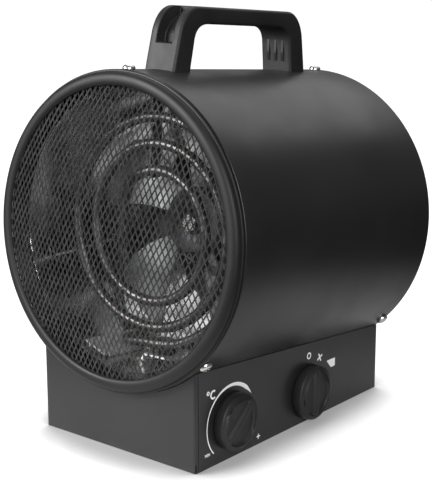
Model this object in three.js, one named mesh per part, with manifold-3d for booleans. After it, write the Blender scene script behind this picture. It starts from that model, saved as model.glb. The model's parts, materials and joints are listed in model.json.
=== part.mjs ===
// Forced air heater: a round drum that leans back a little on a folded sheet base.
// Millimetres, +Z up, base on z = 0. The outlet faces -Y, the two controls are on the +X side of the base.
// Drum pieces are drawn along +Y with the outlet ring at y = 0, then leaned back together by leanBack().
import * as THREE from "three";
import { mergeVertices } from "three/addons/utils/BufferGeometryUtils.js";
import Module from "manifold-3d";

// ---- clearances ----
const GAP = 0.3; // between two pieces that touch or clamp
const PRESS = 0.15; // round a shaft that carries what is pressed on it
const SLIDE = 0.6; // round a shaft that turns
const HOLE = 0.5; // round a screw shank

// ---- drum ----
const DRUM_R = 105;
const DRUM_WALL = 1;
const DRUM_FRONT = 1.2;
const DRUM_REAR = 217.5;
const DRUM_REAR_LIP_W = 8;
const DRUM_EDGE_ROUND = 1.4;
const LEAN_FORWARD = 0.55;
const DRUM_MID = (DRUM_FRONT + DRUM_REAR) / 2 - LEAN_FORWARD; // the lean turns about this point of the axis
const LEAN_DEG = 4.85;
const AXIS_Y = 3;
const DRUM_STAND = 33.8; // from the floor to the drum, before the lean
const AXIS_Z = DRUM_R + DRUM_STAND;
const DRUM_INNER_R = DRUM_R - DRUM_WALL;
const LINER_R = DRUM_INNER_R - GAP; // outside of everything that slides into the drum

// ---- outlet ring and mesh ----
const RING_SKIRT_REAR = 10;
const RING_CROWN = -6.4;
const RING_FACE_W = 10.1;
const RING_SHEET = 1;
const RING_STEP = 1.3;
const MESH_EDGE_GAP = 1.4;
const MESH_R = LINER_R - RING_SHEET - MESH_EDGE_GAP;
const MESH_FRONT = -3.9;
const MESH_THICK = 0.8;
const MESH_DOME = 9;
const MESH_CELL_W = 22;
const MESH_CELL_H = 34;
const MESH_STRAND = 1.6;
const MESH_RIM_W = 7.3;
const MESH_RIM_LAP = 0.5;
const MESH_OPEN_R = MESH_R - MESH_RIM_W;
const CLAMP_RING_W = 4.3;
const CLAMP_RING_THICK = 1;

// ---- inlet grille ----
const GRILLE_SKIRT = 11.2;
const GRILLE_SUNK = 1.3;
const GRILLE_FACE = DRUM_REAR - GRILLE_SUNK;
const GRILLE_SKIRT_FRONT = GRILLE_FACE - GRILLE_SKIRT;
const GRILLE_SHEET = 1;
const GRILLE_SLOT_W = 10.5;
const GRILLE_ROWS = 4;
const GRILLE_ROW_PITCH = 18;
const GRILLE_LAST_ROW_R = DRUM_R - 17;
const GRILLE_RIB_W = 5;

// ---- handle place ----
const HANDLE_FORWARD = 2.75;
const HANDLE_MID = (DRUM_FRONT + DRUM_REAR) / 2 - HANDLE_FORWARD;
const HANDLE_SCREW_AT = 63.5;

// ---- heat shield duct ----
const DUCT_AIR_GAP = 11;
const DUCT_R = DRUM_R - DUCT_AIR_GAP;
const DUCT_SHEET = 0.8;
const DUCT_FRONT = 10.5;
const DUCT_SCREW_ROOM = 12.1; // from the rear flange to the handle's rear screw
const DUCT_REAR = HANDLE_MID + HANDLE_SCREW_AT - DUCT_SCREW_ROOM;
const DUCT_INNER_R = DUCT_R - DUCT_SHEET;

// ---- depths along the drum, from the duct's rear flange forwards ----
const MOTOR_REACH = 48;
const MOTOR_FRONT = DUCT_REAR - MOTOR_REACH;
const FAN_AHEAD = 26;
const FAN_Y = MOTOR_FRONT - FAN_AHEAD;
const ELEMENT_AHEAD = 53;
const ELEMENT_Y = FAN_Y - ELEMENT_AHEAD;

// ---- heating element ----
const TUBE_R = 3.5;
const SPIRAL_EDGE_GAP = 17;
const SPIRAL_OUTER_R = DUCT_R - SPIRAL_EDGE_GAP;
const SPIRAL_PITCH = 17.5;
const SPIRAL_TURNS = 2.6;
const SPIRAL_ROUND_TURNS = 0.4; // the first stretch keeps its radius
const SPIRAL_START_DEG = 256;
const SPIRAL_SHIFT_X = 5;
const RETURN_DEPTH = 12;
const COLD_END = 35; // how far behind the coil the tube ends
const COLD_END_Y = ELEMENT_Y + COLD_END;
const COLD_BEND = 19; // where the cold ends are straight again
const RETURN_STRAIGHT = 12;
const COLD_PIN_R = 1.4;
const COLD_PIN_LEN = 8;
const BRACKET_STAND = 4.5;
const BRACKET_R = DUCT_R - BRACKET_STAND;
const BRACKET_W = 20;
const BRACKET_LEN = 49;
const BRACKET_REAR = COLD_END_Y - 2;
const BRACKET_FRONT = BRACKET_REAR - BRACKET_LEN;
const BRACKET_SHEET = 1.2;
const UPRIGHT_Y = COLD_END_Y - 6;
const BEAD_R = 5.8;
const BEAD_NECK_R = 5;
const LIMITER_DEG = 272;
const LIMITER_STAND = 6;
const LIMITER_SEAT_R = DUCT_R - LIMITER_STAND;
const LIMITER_BEHIND = 18;
const LIMITER_Y = ELEMENT_Y + LIMITER_BEHIND;
const LIMITER_W = 22;
const COMB_SHEET = 1.2;
const COMB_REACH = 4.5; // how far a comb goes past the innermost turn
const COMB_DEPTH = 10;
const NOTCH_CLEAR = 0.9;

// ---- fan and motor ----
const FAN_TIP_GAP = 9.2;
const FAN_TIP_R = DUCT_INNER_R - FAN_TIP_GAP;
const FAN_HUB_R = 25;
const FAN_HUB_LEN = 16;
const BLADES = 5;
const BLADE_SHEET = 1.2;
const BLADE_ARC_DEG = 46;
const BLADE_PITCH_DEG = 27;
const SHAFT_R = 4;
const NUT_LEN = 4;
const NUT_CROWN = 1.2;
const MOTOR_R = 36;
const MOTOR_LEN = 40;
const MOTOR_WALL = 2;
const CORE_FRONT = 12;
const CORE_LEN = 18;
const CORE_BORE_R = 17.4;
const CORE_YOKE = 6;
const POLE_W = 14;
const POLE_L = 11;
const WINDING_LEN = 6;
const CAP_SHEET = 2.3;
const BEARING_R = 7;
const FRONT_BEARING = [0.6, 8.6]; // ends, from the motor's front
const REAR_BEARING = [-5.4, 2.2]; // ends, from the motor's rear
const ARM_ANGLES = [30, 150, 270];
const ARM_SCREW_IN = 5.1;
const ARM_SCREW_R = LINER_R - ARM_SCREW_IN;
const ARM_W = 14;
const ARM_SHEET = 1.5;

// ---- handle ----
const HANDLE_HALF_W = 13.2;
const HANDLE_FOOT = 72.8;
const HANDLE_SHOULDER = 68.2;
const HANDLE_RISE = 41.8;
const HANDLE_TOP_H = DRUM_R + HANDLE_RISE;
const HANDLE_SHOULDER_DROP = 15.8;
const HANDLE_SHOULDER_H = HANDLE_TOP_H - HANDLE_SHOULDER_DROP;
const HANDLE_TOP_FLAT = 50;
const HANDLE_GAP_FOOT = 55.4;
const HANDLE_GAP_SIDE = 52.8;
const HANDLE_GAP_FLAT = 37.5;
const GRIP_THICK = 11.4;
const HANDLE_UNDER_H = HANDLE_TOP_H - GRIP_THICK;
const HANDLE_GAP_CORNER = 13.9;
const HANDLE_GAP_SIDE_H = HANDLE_UNDER_H - HANDLE_GAP_CORNER;
const HANDLE_CORNER_X = 9; // how far the outer corner curve reaches along the grip
const HANDLE_CORNER_H = 8; // and above the shoulder
const HANDLE_LEG_X = 2; // how far the legs lean in along that curve
const HANDLE_LEG_H = 3;
const GAP_CORNER_X = 8;
const GAP_CORNER_H = 4;
const GAP_LEG_X = 1.6;
const HANDLE_ROUND = 2.4;
const POCKET_W = 14;
const POCKET_DROP = 8.7;
const POCKET_FLOOR_H = HANDLE_SHOULDER_H - POCKET_DROP;
const POCKET_DEPTH = 9;
const POCKET_TOP_END = 46;
const RIB_PITCH = 5.9;
const RIB_W = 1.5;
const RIB_PROUD = 1.1;
const RIB_ROOT = 3;
const RIB_FOOT_SHARE = 0.29; // of the height under the grip
const RIB_TOP_SHARE = 0.72;

// ---- screws ----
const SCREW_HEAD_R = 3.6;
const SCREW_HEAD_H = 2.4;
const SCREW_SHANK_R = 1.6;
const SCREW_LEN = 6;
const FRONT_SCREW_Y = 5.3;
const REAR_SCREW_IN = 6.5;
const REAR_SCREW_Y = DRUM_REAR - REAR_SCREW_IN;
const SCREW_ANGLES = { top: 90, right: -44.5, left: 224.5 };

// ---- base ----
const BASE_STEP_IN = 36.85; // from the drum's side to the base's side
const BASE_HALF_W = DRUM_R - BASE_STEP_IN;
const BASE_FRONT_PROUD = 2.2;
const BASE_FRONT = AXIS_Y - DRUM_MID - BASE_FRONT_PROUD;
const BASE_REAR_IN = 8;
const BASE_REAR = AXIS_Y + DRUM_REAR - DRUM_MID - BASE_REAR_IN;
const BASE_SHEET = 1.2;
const BASE_BEND = 3;
const BASE_WALL_FOOT = 0.4;
const BASE_SADDLE_CLEAR = 0.6;
const FLANGE_Z = 4.2;
const FLANGE_W = 13;
const RELIEF_H = 4.6;
const RELIEF_W = 1.2;
const PLATE_SHEET = 1;
const PLATE_CLEAR = 0.5;
const FOOT_R = 8;
const FOOT_INSET = 24;
const FOOT_OUT = 8; // the pads are this much nearer to the ends than to the sides
const PLATE_SCREW_IN = 27;
const PLATE_SCREW_SIDE = 8;
const VENTS = 3;
const VENT_PITCH = 11;
const VENT_L = 40;
const CRADLE_AHEAD = 23.8;
const CRADLE_REAR_IN = 37.5;
const CRADLE_Y = { front: DRUM_MID - CRADLE_AHEAD, rear: DRUM_REAR - CRADLE_REAR_IN };
const CRADLE_TAB_W = 18;
const CRADLE_TAB_L = 14;
const CRADLE_OPEN_HALF = 30;
const CRADLE_OPEN_H = 18;
const WIRE_HOLE_R = 6;
const SERVICE_X = [-12, 28]; // the wiring is reached through this opening in the bottom plate
const SERVICE_AHEAD = [87.7, 57.7]; // from the base's rear
const SERVICE_ROUND = 3;
const WIRE_HOLE_BEHIND = 40;
const WIRE_HOLE_Y = ELEMENT_Y + WIRE_HOLE_BEHIND;
const CRADLE_SHEET = 1.2;
const CRADLE_WEB_TOP = 70;
const CRADLE_FOOT_L = 12;
const CRADLE_FOOT_GAP = 8;

// ---- controls ----
const THERMOSTAT_IN = 36.2; // from the base's front
const THERMOSTAT_Y = BASE_FRONT + THERMOSTAT_IN;
const THERMOSTAT_Z = 26.8;
const SWITCH_IN = 121.8;
const SWITCH_Y = BASE_FRONT + SWITCH_IN;
const SWITCH_Z = 22.3;
const BLOCK_X = -30;
const BLOCK_IN = 85.7; // from the base's rear
const BLOCK_Y = BASE_REAR - BLOCK_IN;
const BLOCK_W = 20;
const BLOCK_L = 44;
const BLOCK_H = 15;
const BLOCK_POLES = 3;
const BLOCK_PITCH = 13;
const BLOCK_WELL_R = 3;
const BLOCK_BORE = 4.4;
const GLAND_IN = 20.15; // from the base's left side
const GLAND_X = GLAND_IN - BASE_HALF_W;
const GLAND_Z = 15;
const GLAND_BORE_R = 3.6;
const GLAND_NECK_R = 6.4;
const GLAND_RIM_R = 9;
const KNOB_R = 19.4;
const KNOB_FACE_R = 17.4;
const KNOB_H = 12.5;
const KNOB_STAND = 1;
const SCOOP_R = 15.2;
const SCOOP_DEPTH = 3.6;
const GRIP_W = 4.2;
const POINTER_TURN_DEG = -38; // the thermostat pointer as photographed, from straight up
const CONTROL_SHAFT_R = 3;
const BUSH_R = 4.6;

const wasm = await Module();
wasm.setup();

// ---------- solids ----------
// A closed solid from a geometry whose faces may still be doubled at seams and poles.
function solidOf(geometry) {
  const bare = geometry.index ? geometry.toNonIndexed() : geometry.clone();
  bare.deleteAttribute("normal");
  bare.deleteAttribute("uv");
  const merged = mergeVertices(bare, 1e-3);
  const index = merged.index.array;
  const kept = [];
  for (let i = 0; i < index.length; i += 3) {
    const [a, b, c] = [index[i], index[i + 1], index[i + 2]];
    if (a !== b && b !== c && c !== a) kept.push(a, b, c);
  }
  const made = new wasm.Manifold(
    new wasm.Mesh({
      numProp: 3,
      vertProperties: new Float32Array(merged.attributes.position.array),
      triVerts: new Uint32Array(kept),
    }),
  );
  if (made.volume() > 0) return made;
  for (let i = 0; i < kept.length; i += 3) [kept[i + 1], kept[i + 2]] = [kept[i + 2], kept[i + 1]];
  return new wasm.Manifold(
    new wasm.Mesh({
      numProp: 3,
      vertProperties: new Float32Array(merged.attributes.position.array),
      triVerts: new Uint32Array(kept),
    }),
  );
}

const union = (solids) => solids.reduce((all, one) => all.add(one));
const cutAll = (body, tools) => tools.reduce((left, tool) => left.subtract(tool), body);

// A closed profile of [radius, y] points turned about the Y axis.
function turned(profile, segments = 48) {
  const points = profile.map(([r, y]) => new THREE.Vector2(r, y));
  const onAxis = profile[0][0] === 0 && profile[profile.length - 1][0] === 0;
  if (!onAxis) points.push(points[0].clone());
  return solidOf(new THREE.LatheGeometry(points, segments));
}

// A ring or a disc between two heights on the Y axis.
function ringY(inner, outer, y0, y1, segments = 48) {
  if (inner > 0) {
    return turned([[inner, y0], [outer, y0], [outer, y1], [inner, y1]], segments);
  }
  return turned([[0, y0], [outer, y0], [outer, y1], [0, y1]], segments);
}

function box(sx, sy, sz, x = 0, y = 0, z = 0) {
  return solidOf(new THREE.BoxGeometry(sx, sy, sz)).translate([x, y, z]);
}

function shapeOf(points) {
  return new THREE.Shape(points.map(([x, y]) => new THREE.Vector2(x, y)));
}

// A flat outline in X and Y, made thick along Z from 0.
function plateOf(shape, thick, curveSegments = 12) {
  return solidOf(new THREE.ExtrudeGeometry(shape, { depth: thick, bevelEnabled: false, curveSegments }));
}

function roundedRect(x0, y0, x1, y1, r) {
  const shape = new THREE.Shape();
  shape.moveTo(x0 + r, y0);
  shape.lineTo(x1 - r, y0);
  shape.absarc(x1 - r, y0 + r, r, -Math.PI / 2, 0);
  shape.lineTo(x1, y1 - r);
  shape.absarc(x1 - r, y1 - r, r, 0, Math.PI / 2);
  shape.lineTo(x0 + r, y1);
  shape.absarc(x0 + r, y1 - r, r, Math.PI / 2, Math.PI);
  shape.lineTo(x0, y0 + r);
  shape.absarc(x0 + r, y0 + r, r, Math.PI, 1.5 * Math.PI);
  return shape;
}

// Turns a solid drawn with its axis along +Z so that the axis points out of the drum at an angle.
const degrees = (d) => (d * Math.PI) / 180;
function radial(solid, angle, y) {
  return solid.rotate([0, 90, 0]).rotate([0, -angle, 0]).translate([0, y, 0]);
}

// The lean of the whole drum, in the part's frame.
function leanBack(solid) {
  return solid
    .translate([0, -DRUM_MID, 0])
    .rotate([-LEAN_DEG, 0, 0])
    .translate([0, AXIS_Y, AXIS_Z]);
}

// ---------- materials ----------
const finish = (color, roughness, metalness) =>
  new THREE.MeshStandardMaterial({ color, roughness, metalness });
const MATERIALS = {
  black_paint: finish(0x1c1c1d, 0.45, 0.3),
  black_plastic: finish(0x1a1a1b, 0.6, 0),
  galvanised: finish(0x9a9c9e, 0.4, 0.9),
  element_steel: finish(0x4a4643, 0.5, 0.85),
  zinc_screw: finish(0xb9bcbf, 0.3, 0.95),
  fan_metal: finish(0x2a2a2b, 0.5, 0.6),
  motor_metal: finish(0x6c6f72, 0.45, 0.85),
  core_steel: finish(0x55585b, 0.5, 0.8),
  copper: finish(0x9a5a32, 0.4, 0.9),
  bronze: finish(0x8a6b3a, 0.4, 0.9),
  ceramic: finish(0xd9d4c8, 0.6, 0),
  rubber: finish(0x161616, 0.9, 0),
  dark_plastic: finish(0x2b2b2c, 0.6, 0),
};

const heater = new THREE.Group();
heater.name = "forced_air_heater";

function addPiece(name, solid, material) {
  const data = solid.getMesh();
  const geometry = new THREE.BufferGeometry();
  geometry.setAttribute("position", new THREE.BufferAttribute(new Float32Array(data.vertProperties), 3));
  geometry.setIndex(new THREE.BufferAttribute(new Uint32Array(data.triVerts), 1));
  geometry.computeVertexNormals();
  const mesh = new THREE.Mesh(geometry, MATERIALS[material]);
  mesh.name = name;
  heater.add(mesh);
}
const addDrumPiece = (name, solid, material) => addPiece(name, leanBack(solid), material);

// ---------- screws ----------
// A pan head screw on +Z: head above z = 0, shank below it.
function panScrew(length) {
  const r = SCREW_HEAD_R;
  const h = SCREW_HEAD_H;
  const profile = [[0, -length], [SCREW_SHANK_R, -length], [SCREW_SHANK_R, 0], [r, 0], [r * 0.9, h * 0.6]];
  profile.push([r * 0.5, h], [0, h]);
  return turned(profile, 8).rotate([90, 0, 0]);
}
function shankHole(angle, y, r = SCREW_SHANK_R + HOLE) {
  const pin = solidOf(new THREE.CylinderGeometry(r, r, 16, 6)).rotate([90, 0, 0]);
  return radial(pin.translate([0, 0, DRUM_R - 4]), angle, y);
}

// ---------- drum shell ----------
{
  const R = DRUM_R;
  const inner = DRUM_INNER_R;
  const e = DRUM_EDGE_ROUND;
  const lipR = R - DRUM_REAR_LIP_W;
  const profile = [[inner, DRUM_FRONT], [R, DRUM_FRONT], [R, DRUM_REAR - e]];
  profile.push([R - e * 0.3, DRUM_REAR - e * 0.3], [R - e, DRUM_REAR]);
  profile.push([lipR, DRUM_REAR], [lipR, DRUM_REAR - DRUM_WALL]);
  profile.push([inner, DRUM_REAR - DRUM_WALL]);
  const holes = Object.values(SCREW_ANGLES).flatMap((angle) => [
    shankHole(angle, FRONT_SCREW_Y),
    shankHole(angle, REAR_SCREW_Y),
  ]);
  holes.push(shankHole(90, HANDLE_MID - HANDLE_SCREW_AT), shankHole(90, HANDLE_MID + HANDLE_SCREW_AT));
  holes.push(shankHole(270, CRADLE_Y.front), shankHole(270, CRADLE_Y.rear));
  // the element wires and the limiter wires drop through here into the base
  const wireHole = solidOf(new THREE.CylinderGeometry(WIRE_HOLE_R, WIRE_HOLE_R, 16, 12)).rotate([90, 0, 0]);
  holes.push(radial(wireHole.translate([0, 0, R - 4]), 270, WIRE_HOLE_Y));
  addDrumPiece("drum_shell", cutAll(turned(profile, 44), holes), "black_paint");
}

// ---------- outlet ring, mesh and clamp ring ----------
{
  const R = DRUM_R;
  const s = RING_SHEET;
  const skirt = LINER_R;
  const c = RING_CROWN;
  const mouth = R - RING_FACE_W;
  // a narrow bead laps the drum's edge, and the rounded face stands a step inside it
  const bead = R - RING_STEP;
  const profile = [[skirt, RING_SKIRT_REAR], [skirt, -0.3], [R, -0.3], [R, -1.9], [bead, -2.3]];
  profile.push([bead, c + 2.7], [R - 3.4, c + 0.8], [R - 6.4, c], [R - 8.8, c + 0.4], [mouth, c + 1.4]);
  profile.push([mouth, c + 2.3], [R - 7, c + s], [R - 3.6, c + 1.9], [skirt - s, c + 3.8]);
  profile.push([skirt - s, RING_SKIRT_REAR]);
  const holes = Object.values(SCREW_ANGLES).map((angle) => shankHole(angle, FRONT_SCREW_Y));
  addDrumPiece("outlet_ring", cutAll(turned(profile, 44), holes), "black_paint");

  // Expanded metal: a disc with a staggered field of diamond openings, cut off round at the rim.
  // It bulges forward inside its flat rim.
  const rim = ringY(MESH_OPEN_R, MESH_R, MESH_FRONT, MESH_FRONT + MESH_THICK, 44);
  const field = ringY(0, MESH_OPEN_R + MESH_RIM_LAP, MESH_FRONT, MESH_FRONT + MESH_THICK, 44);
  const openField = ringY(0, MESH_OPEN_R, MESH_FRONT - 2, MESH_FRONT + MESH_THICK + 2, 44);
  const a = (MESH_CELL_W - MESH_STRAND * 1.2) / 2;
  const b = (MESH_CELL_H - MESH_STRAND * 1.8) / 2;
  const diamond = plateOf(shapeOf([[-a, 0], [0, -b], [a, 0], [0, b]]), 4)
    .rotate([90, 0, 0])
    .translate([0, MESH_FRONT + MESH_THICK / 2 + 2, 0]);
  const columns = Math.ceil(MESH_R / MESH_CELL_W) + 1;
  const rows = Math.ceil((2 * MESH_R) / MESH_CELL_H) + 1;
  const openings = [];
  for (let row = -rows; row <= rows; row += 1) {
    for (let column = -columns; column <= columns; column += 1) {
      const x = (column + (row % 2 ? 0.5 : 0)) * MESH_CELL_W;
      const z = (row * MESH_CELL_H) / 2;
      if (Math.hypot(x, z) < MESH_OPEN_R + 3) openings.push(diamond.translate([x, 0, z]));
    }
  }
  const bulged = field.subtract(union(openings).intersect(openField)).warp((point) => {
    const share = Math.hypot(point[0], point[2]) / MESH_OPEN_R;
    point[1] -= MESH_DOME * Math.max(0, 1 - share * share);
  });
  addDrumPiece("outlet_mesh", union([rim, bulged]), "black_paint");

  const clampFront = MESH_FRONT + MESH_THICK + GAP;
  const clamp = ringY(MESH_R - CLAMP_RING_W, skirt - s - 2 * GAP, clampFront, clampFront + CLAMP_RING_THICK, 30);
  addDrumPiece("mesh_clamp_ring", clamp, "galvanised");
}

// ---------- inlet grille ----------
{
  const R = LINER_R;
  const s = GRILLE_SHEET;
  const y = GRILLE_FACE;
  const profile = [[R, GRILLE_SKIRT_FRONT], [R, y - 2.2], [R - 2.2, y], [0, y]];
  profile.push([0, y - s], [R - 2.6, y - s], [R - s, y - 2.6], [R - s, GRILLE_SKIRT_FRONT]);
  const dish = turned(profile, 36);
  const slots = [];
  for (let row = 0; row < GRILLE_ROWS; row += 1) {
    const r = GRILLE_LAST_ROW_R - row * GRILLE_ROW_PITCH;
    const count = 6;
    const half = Math.PI / count - GRILLE_RIB_W / 2 / r - GRILLE_SLOT_W / 2 / r;
    for (let i = 0; i < count; i += 1) {
      const mid = (2 * Math.PI * (i + 0.5)) / count;
      const arc = new THREE.Shape();
      const w = GRILLE_SLOT_W / 2;
      arc.absarc(0, 0, r + w, mid - half, mid + half, false);
      arc.absarc(0, 0, r - w, mid + half, mid - half, true);
      slots.push(plateOf(arc, 4, 2).rotate([90, 0, 0]).translate([0, y + 2, 0]));
    }
  }
  const holes = Object.values(SCREW_ANGLES).map((angle) => shankHole(angle, REAR_SCREW_Y));
  addDrumPiece("inlet_grille", cutAll(cutAll(dish, slots), holes), "black_paint");
}

// ---------- drum screws ----------
for (const [where, angle] of Object.entries(SCREW_ANGLES)) {
  const out = DRUM_R + GAP * 0.4;
  const front = radial(panScrew(SCREW_LEN).translate([0, 0, out]), angle, FRONT_SCREW_Y);
  const rear = radial(panScrew(SCREW_LEN).translate([0, 0, out]), angle, REAR_SCREW_Y);
  addDrumPiece(`front_screw_${where}`, front, "zinc_screw");
  addDrumPiece(`rear_screw_${where}`, rear, "zinc_screw");
}

// ---------- heat shield duct ----------
{
  const r = DUCT_R;
  const s = DUCT_SHEET;
  const lip = LINER_R;
  const profile = [[lip, DUCT_FRONT], [lip, DUCT_FRONT + s], [r, DUCT_FRONT + s], [r, DUCT_REAR]];
  profile.push([lip, DUCT_REAR], [lip, DUCT_REAR + s], [r - s, DUCT_REAR + s], [r - s, DUCT_FRONT]);
  const wireHole = solidOf(new THREE.CylinderGeometry(WIRE_HOLE_R, WIRE_HOLE_R, 12, 12)).rotate([90, 0, 0]);
  const wires = radial(wireHole.translate([0, 0, r]), 270, WIRE_HOLE_Y);
  const holes = ARM_ANGLES.map((angle) =>
    ringY(0, SCREW_SHANK_R + HOLE, DUCT_REAR - 4, DUCT_REAR + 4, 8).translate([ARM_SCREW_R, 0, 0]).rotate([0, -angle, 0]),
  );
  addDrumPiece("heat_shield_duct", cutAll(turned(profile, 34), [wires, ...holes]), "galvanised");
}

// ---------- heating element ----------
// One tube: from its terminal into the outer turn, inwards turn by turn, and back behind the turns.
const spiralRadius = (turn) => SPIRAL_OUTER_R - SPIRAL_PITCH * Math.max(0, turn - SPIRAL_ROUND_TURNS);
function spiralPoint(turn) {
  const angle = degrees(SPIRAL_START_DEG + 360 * turn);
  const r = spiralRadius(turn);
  return new THREE.Vector3(SPIRAL_SHIFT_X + r * Math.cos(angle), ELEMENT_Y, r * Math.sin(angle));
}
// A place on the terminal bracket: height over the drum axis, and sideways from the bracket's middle.
const BRACKET_DEG = 250.6;
const TERMINAL_STAND = 8;
const TERMINAL_R = BRACKET_R - TERMINAL_STAND;
const TERMINAL_HALF = 6.5;
function atBracket(radius, sideways, y) {
  const a = degrees(BRACKET_DEG);
  const x = radius * Math.cos(a) - sideways * Math.sin(a);
  const z = radius * Math.sin(a) + sideways * Math.cos(a);
  return new THREE.Vector3(x, y, z);
}
{
  const back = ELEMENT_Y + RETURN_DEPTH;
  const straight = ELEMENT_Y + COLD_BEND;
  const points = [atBracket(TERMINAL_R, TERMINAL_HALF, COLD_END_Y), atBracket(TERMINAL_R, TERMINAL_HALF, straight)];
  points.push(atBracket(TERMINAL_R, TERMINAL_HALF, ELEMENT_Y + 10));
  points.push(atBracket(TERMINAL_R - 1, TERMINAL_HALF + 3, ELEMENT_Y + 3));
  const perTurn = 18;
  const first = 0.03;
  const steps = Math.round((SPIRAL_TURNS - first) * perTurn);
  for (let i = 0; i <= steps; i += 1) points.push(spiralPoint(first + ((SPIRAL_TURNS - first) * i) / steps));
  points.push(new THREE.Vector3(-21, ELEMENT_Y + 4, 29));
  points.push(new THREE.Vector3(-30, back - 4, 14));
  points.push(new THREE.Vector3(-34.5, back, -6));
  points.push(new THREE.Vector3(-35.5, back, -30));
  points.push(new THREE.Vector3(-35, back, -54));
  points.push(atBracket(TERMINAL_R - 5, -TERMINAL_HALF, back + 1.5));
  points.push(atBracket(TERMINAL_R, -TERMINAL_HALF, back + RETURN_STRAIGHT / 2 + 0.5));
  points.push(atBracket(TERMINAL_R, -TERMINAL_HALF, back + RETURN_STRAIGHT));
  points.push(atBracket(TERMINAL_R, -TERMINAL_HALF, COLD_END_Y));
  const path = new THREE.CatmullRomCurve3(points, false, "centripetal");
  const section = new THREE.Shape();
  section.absarc(0, 0, TUBE_R, 0, 2 * Math.PI);
  const extrude = { steps: 82, curveSegments: 4, extrudePath: path, bevelEnabled: false };
  let element = solidOf(new THREE.ExtrudeGeometry(section, extrude));
  for (const side of [-1, 1]) {
    const end = atBracket(TERMINAL_R, side * TERMINAL_HALF, COLD_END_Y);
    const pin = ringY(0, COLD_PIN_R, -2, COLD_PIN_LEN, 8);
    element = element.add(pin.translate([end.x, end.y, end.z]));
  }
  addDrumPiece("heating_element", element, "element_steel");
}

// Comb plates: each stands on the duct and holds the turns in open notches.
const COMB_ANGLES = [340, 90, 200];
COMB_ANGLES.forEach((angle, i) => {
  const outer = DUCT_INNER_R - 2 * GAP;
  const inner = spiralRadius(SPIRAL_TURNS) - COMB_REACH;
  const front = ELEMENT_Y - 2;
  const length = outer - inner;
  let comb = box(length, COMB_DEPTH, COMB_SHEET, inner + length / 2, front + COMB_DEPTH / 2, 0);
  const foot = box(COMB_SHEET, COMB_DEPTH, 12, outer - COMB_SHEET / 2 - 0.8, front + COMB_DEPTH / 2, 0);
  comb = comb.add(foot);
  // the turns cross the comb where the shifted spiral meets this angle
  for (let turn = 0.03; turn <= SPIRAL_TURNS; turn += 1 / 720) {
    const here = spiralPoint(turn);
    const next = spiralPoint(turn + 1 / 720);
    const side = Math.sin(degrees(angle)) * here.x - Math.cos(degrees(angle)) * here.z;
    const nextSide = Math.sin(degrees(angle)) * next.x - Math.cos(degrees(angle)) * next.z;
    const outwards = here.x * Math.cos(degrees(angle)) + here.z * Math.sin(degrees(angle)) > 0;
    if (!outwards || side * nextSide > 0) continue;
    const r = Math.hypot(here.x, here.z);
    const notch = solidOf(new THREE.CylinderGeometry(TUBE_R + NOTCH_CLEAR, TUBE_R + NOTCH_CLEAR, 6, 12)).rotate([90, 0, 0]);
    comb = comb.subtract(notch.translate([r, ELEMENT_Y, 0]));
    comb = comb.subtract(box(2 * (TUBE_R + NOTCH_CLEAR), 8, 6, r, ELEMENT_Y - 4, 0));
  }
  addDrumPiece(`element_comb_${i + 1}`, comb.rotate([0, -angle, 0]), "galvanised");
});

// ---------- element bracket, terminals and limiter ----------
const ductInside = ringY(DUCT_INNER_R - 2 * GAP, DUCT_R + 20, 0, DUCT_REAR, 48);
// drawn with +X pointing out of the drum, then turned to its place low in the duct
const ontoDuct = (solid, angle) => solid.rotate([0, -angle, 0]).subtract(ductInside);
{
  const length = BRACKET_REAR - BRACKET_FRONT;
  const middle = (BRACKET_REAR + BRACKET_FRONT) / 2;
  const shelf = box(BRACKET_SHEET, length, BRACKET_W, BRACKET_R, middle, 0);
  const stop = TERMINAL_R - TERMINAL_STAND;
  const upright = box(BRACKET_R - stop, BRACKET_SHEET, BRACKET_W, (BRACKET_R + stop) / 2, UPRIGHT_Y, 0);
  const legs = [-1, 1].map((side) =>
    box(8, length - 12, BRACKET_SHEET, BRACKET_R + 3.6, middle, side * (BRACKET_W - BRACKET_SHEET) / 2),
  );
  const tools = [-1, 1].map((side) =>
    ringY(0, BEAD_NECK_R + GAP, UPRIGHT_Y - 4, UPRIGHT_Y + 4, 12).translate([TERMINAL_R, 0, -side * TERMINAL_HALF]),
  );
  const bracket = cutAll(union([shelf, upright, ...legs]), tools);
  addDrumPiece("element_bracket", ontoDuct(bracket, BRACKET_DEG), "galvanised");
  for (const [i, side] of [[1, -1], [2, 1]]) {
    const front = UPRIGHT_Y - BRACKET_SHEET / 2 - GAP;
    const bore = TUBE_R + HOLE;
    const bead = [[bore, front - 4], [BEAD_R, front - 4], [BEAD_R, front], [BEAD_NECK_R, front]];
    bead.push([BEAD_NECK_R, front + 5], [bore, front + 5]);
    const at = atBracket(TERMINAL_R, side * TERMINAL_HALF, 0);
    addDrumPiece(`terminal_insulator_${i}`, turned(bead, 12).translate([at.x, 0, at.z]), "ceramic");
  }
}
{
  const tab = box(BRACKET_SHEET, LIMITER_W, LIMITER_W, LIMITER_SEAT_R, LIMITER_Y, 0);
  const leg = box(9, LIMITER_W, BRACKET_SHEET, LIMITER_SEAT_R + 4, LIMITER_Y, -(LIMITER_W - BRACKET_SHEET) / 2);
  addDrumPiece("limiter_bracket", ontoDuct(tab.add(leg), LIMITER_DEG), "galvanised");
  const can = turned([[0, 0], [8, 0], [8, 5.5], [9.4, 5.5], [9.4, 8], [6, 9.6], [0, 9.6]], 14).rotate([0, 0, 90]);
  const seat = LIMITER_SEAT_R - BRACKET_SHEET / 2 - GAP;
  addDrumPiece("thermal_limiter", can.translate([seat, LIMITER_Y, 0]).rotate([0, -LIMITER_DEG, 0]), "dark_plastic");
}

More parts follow.
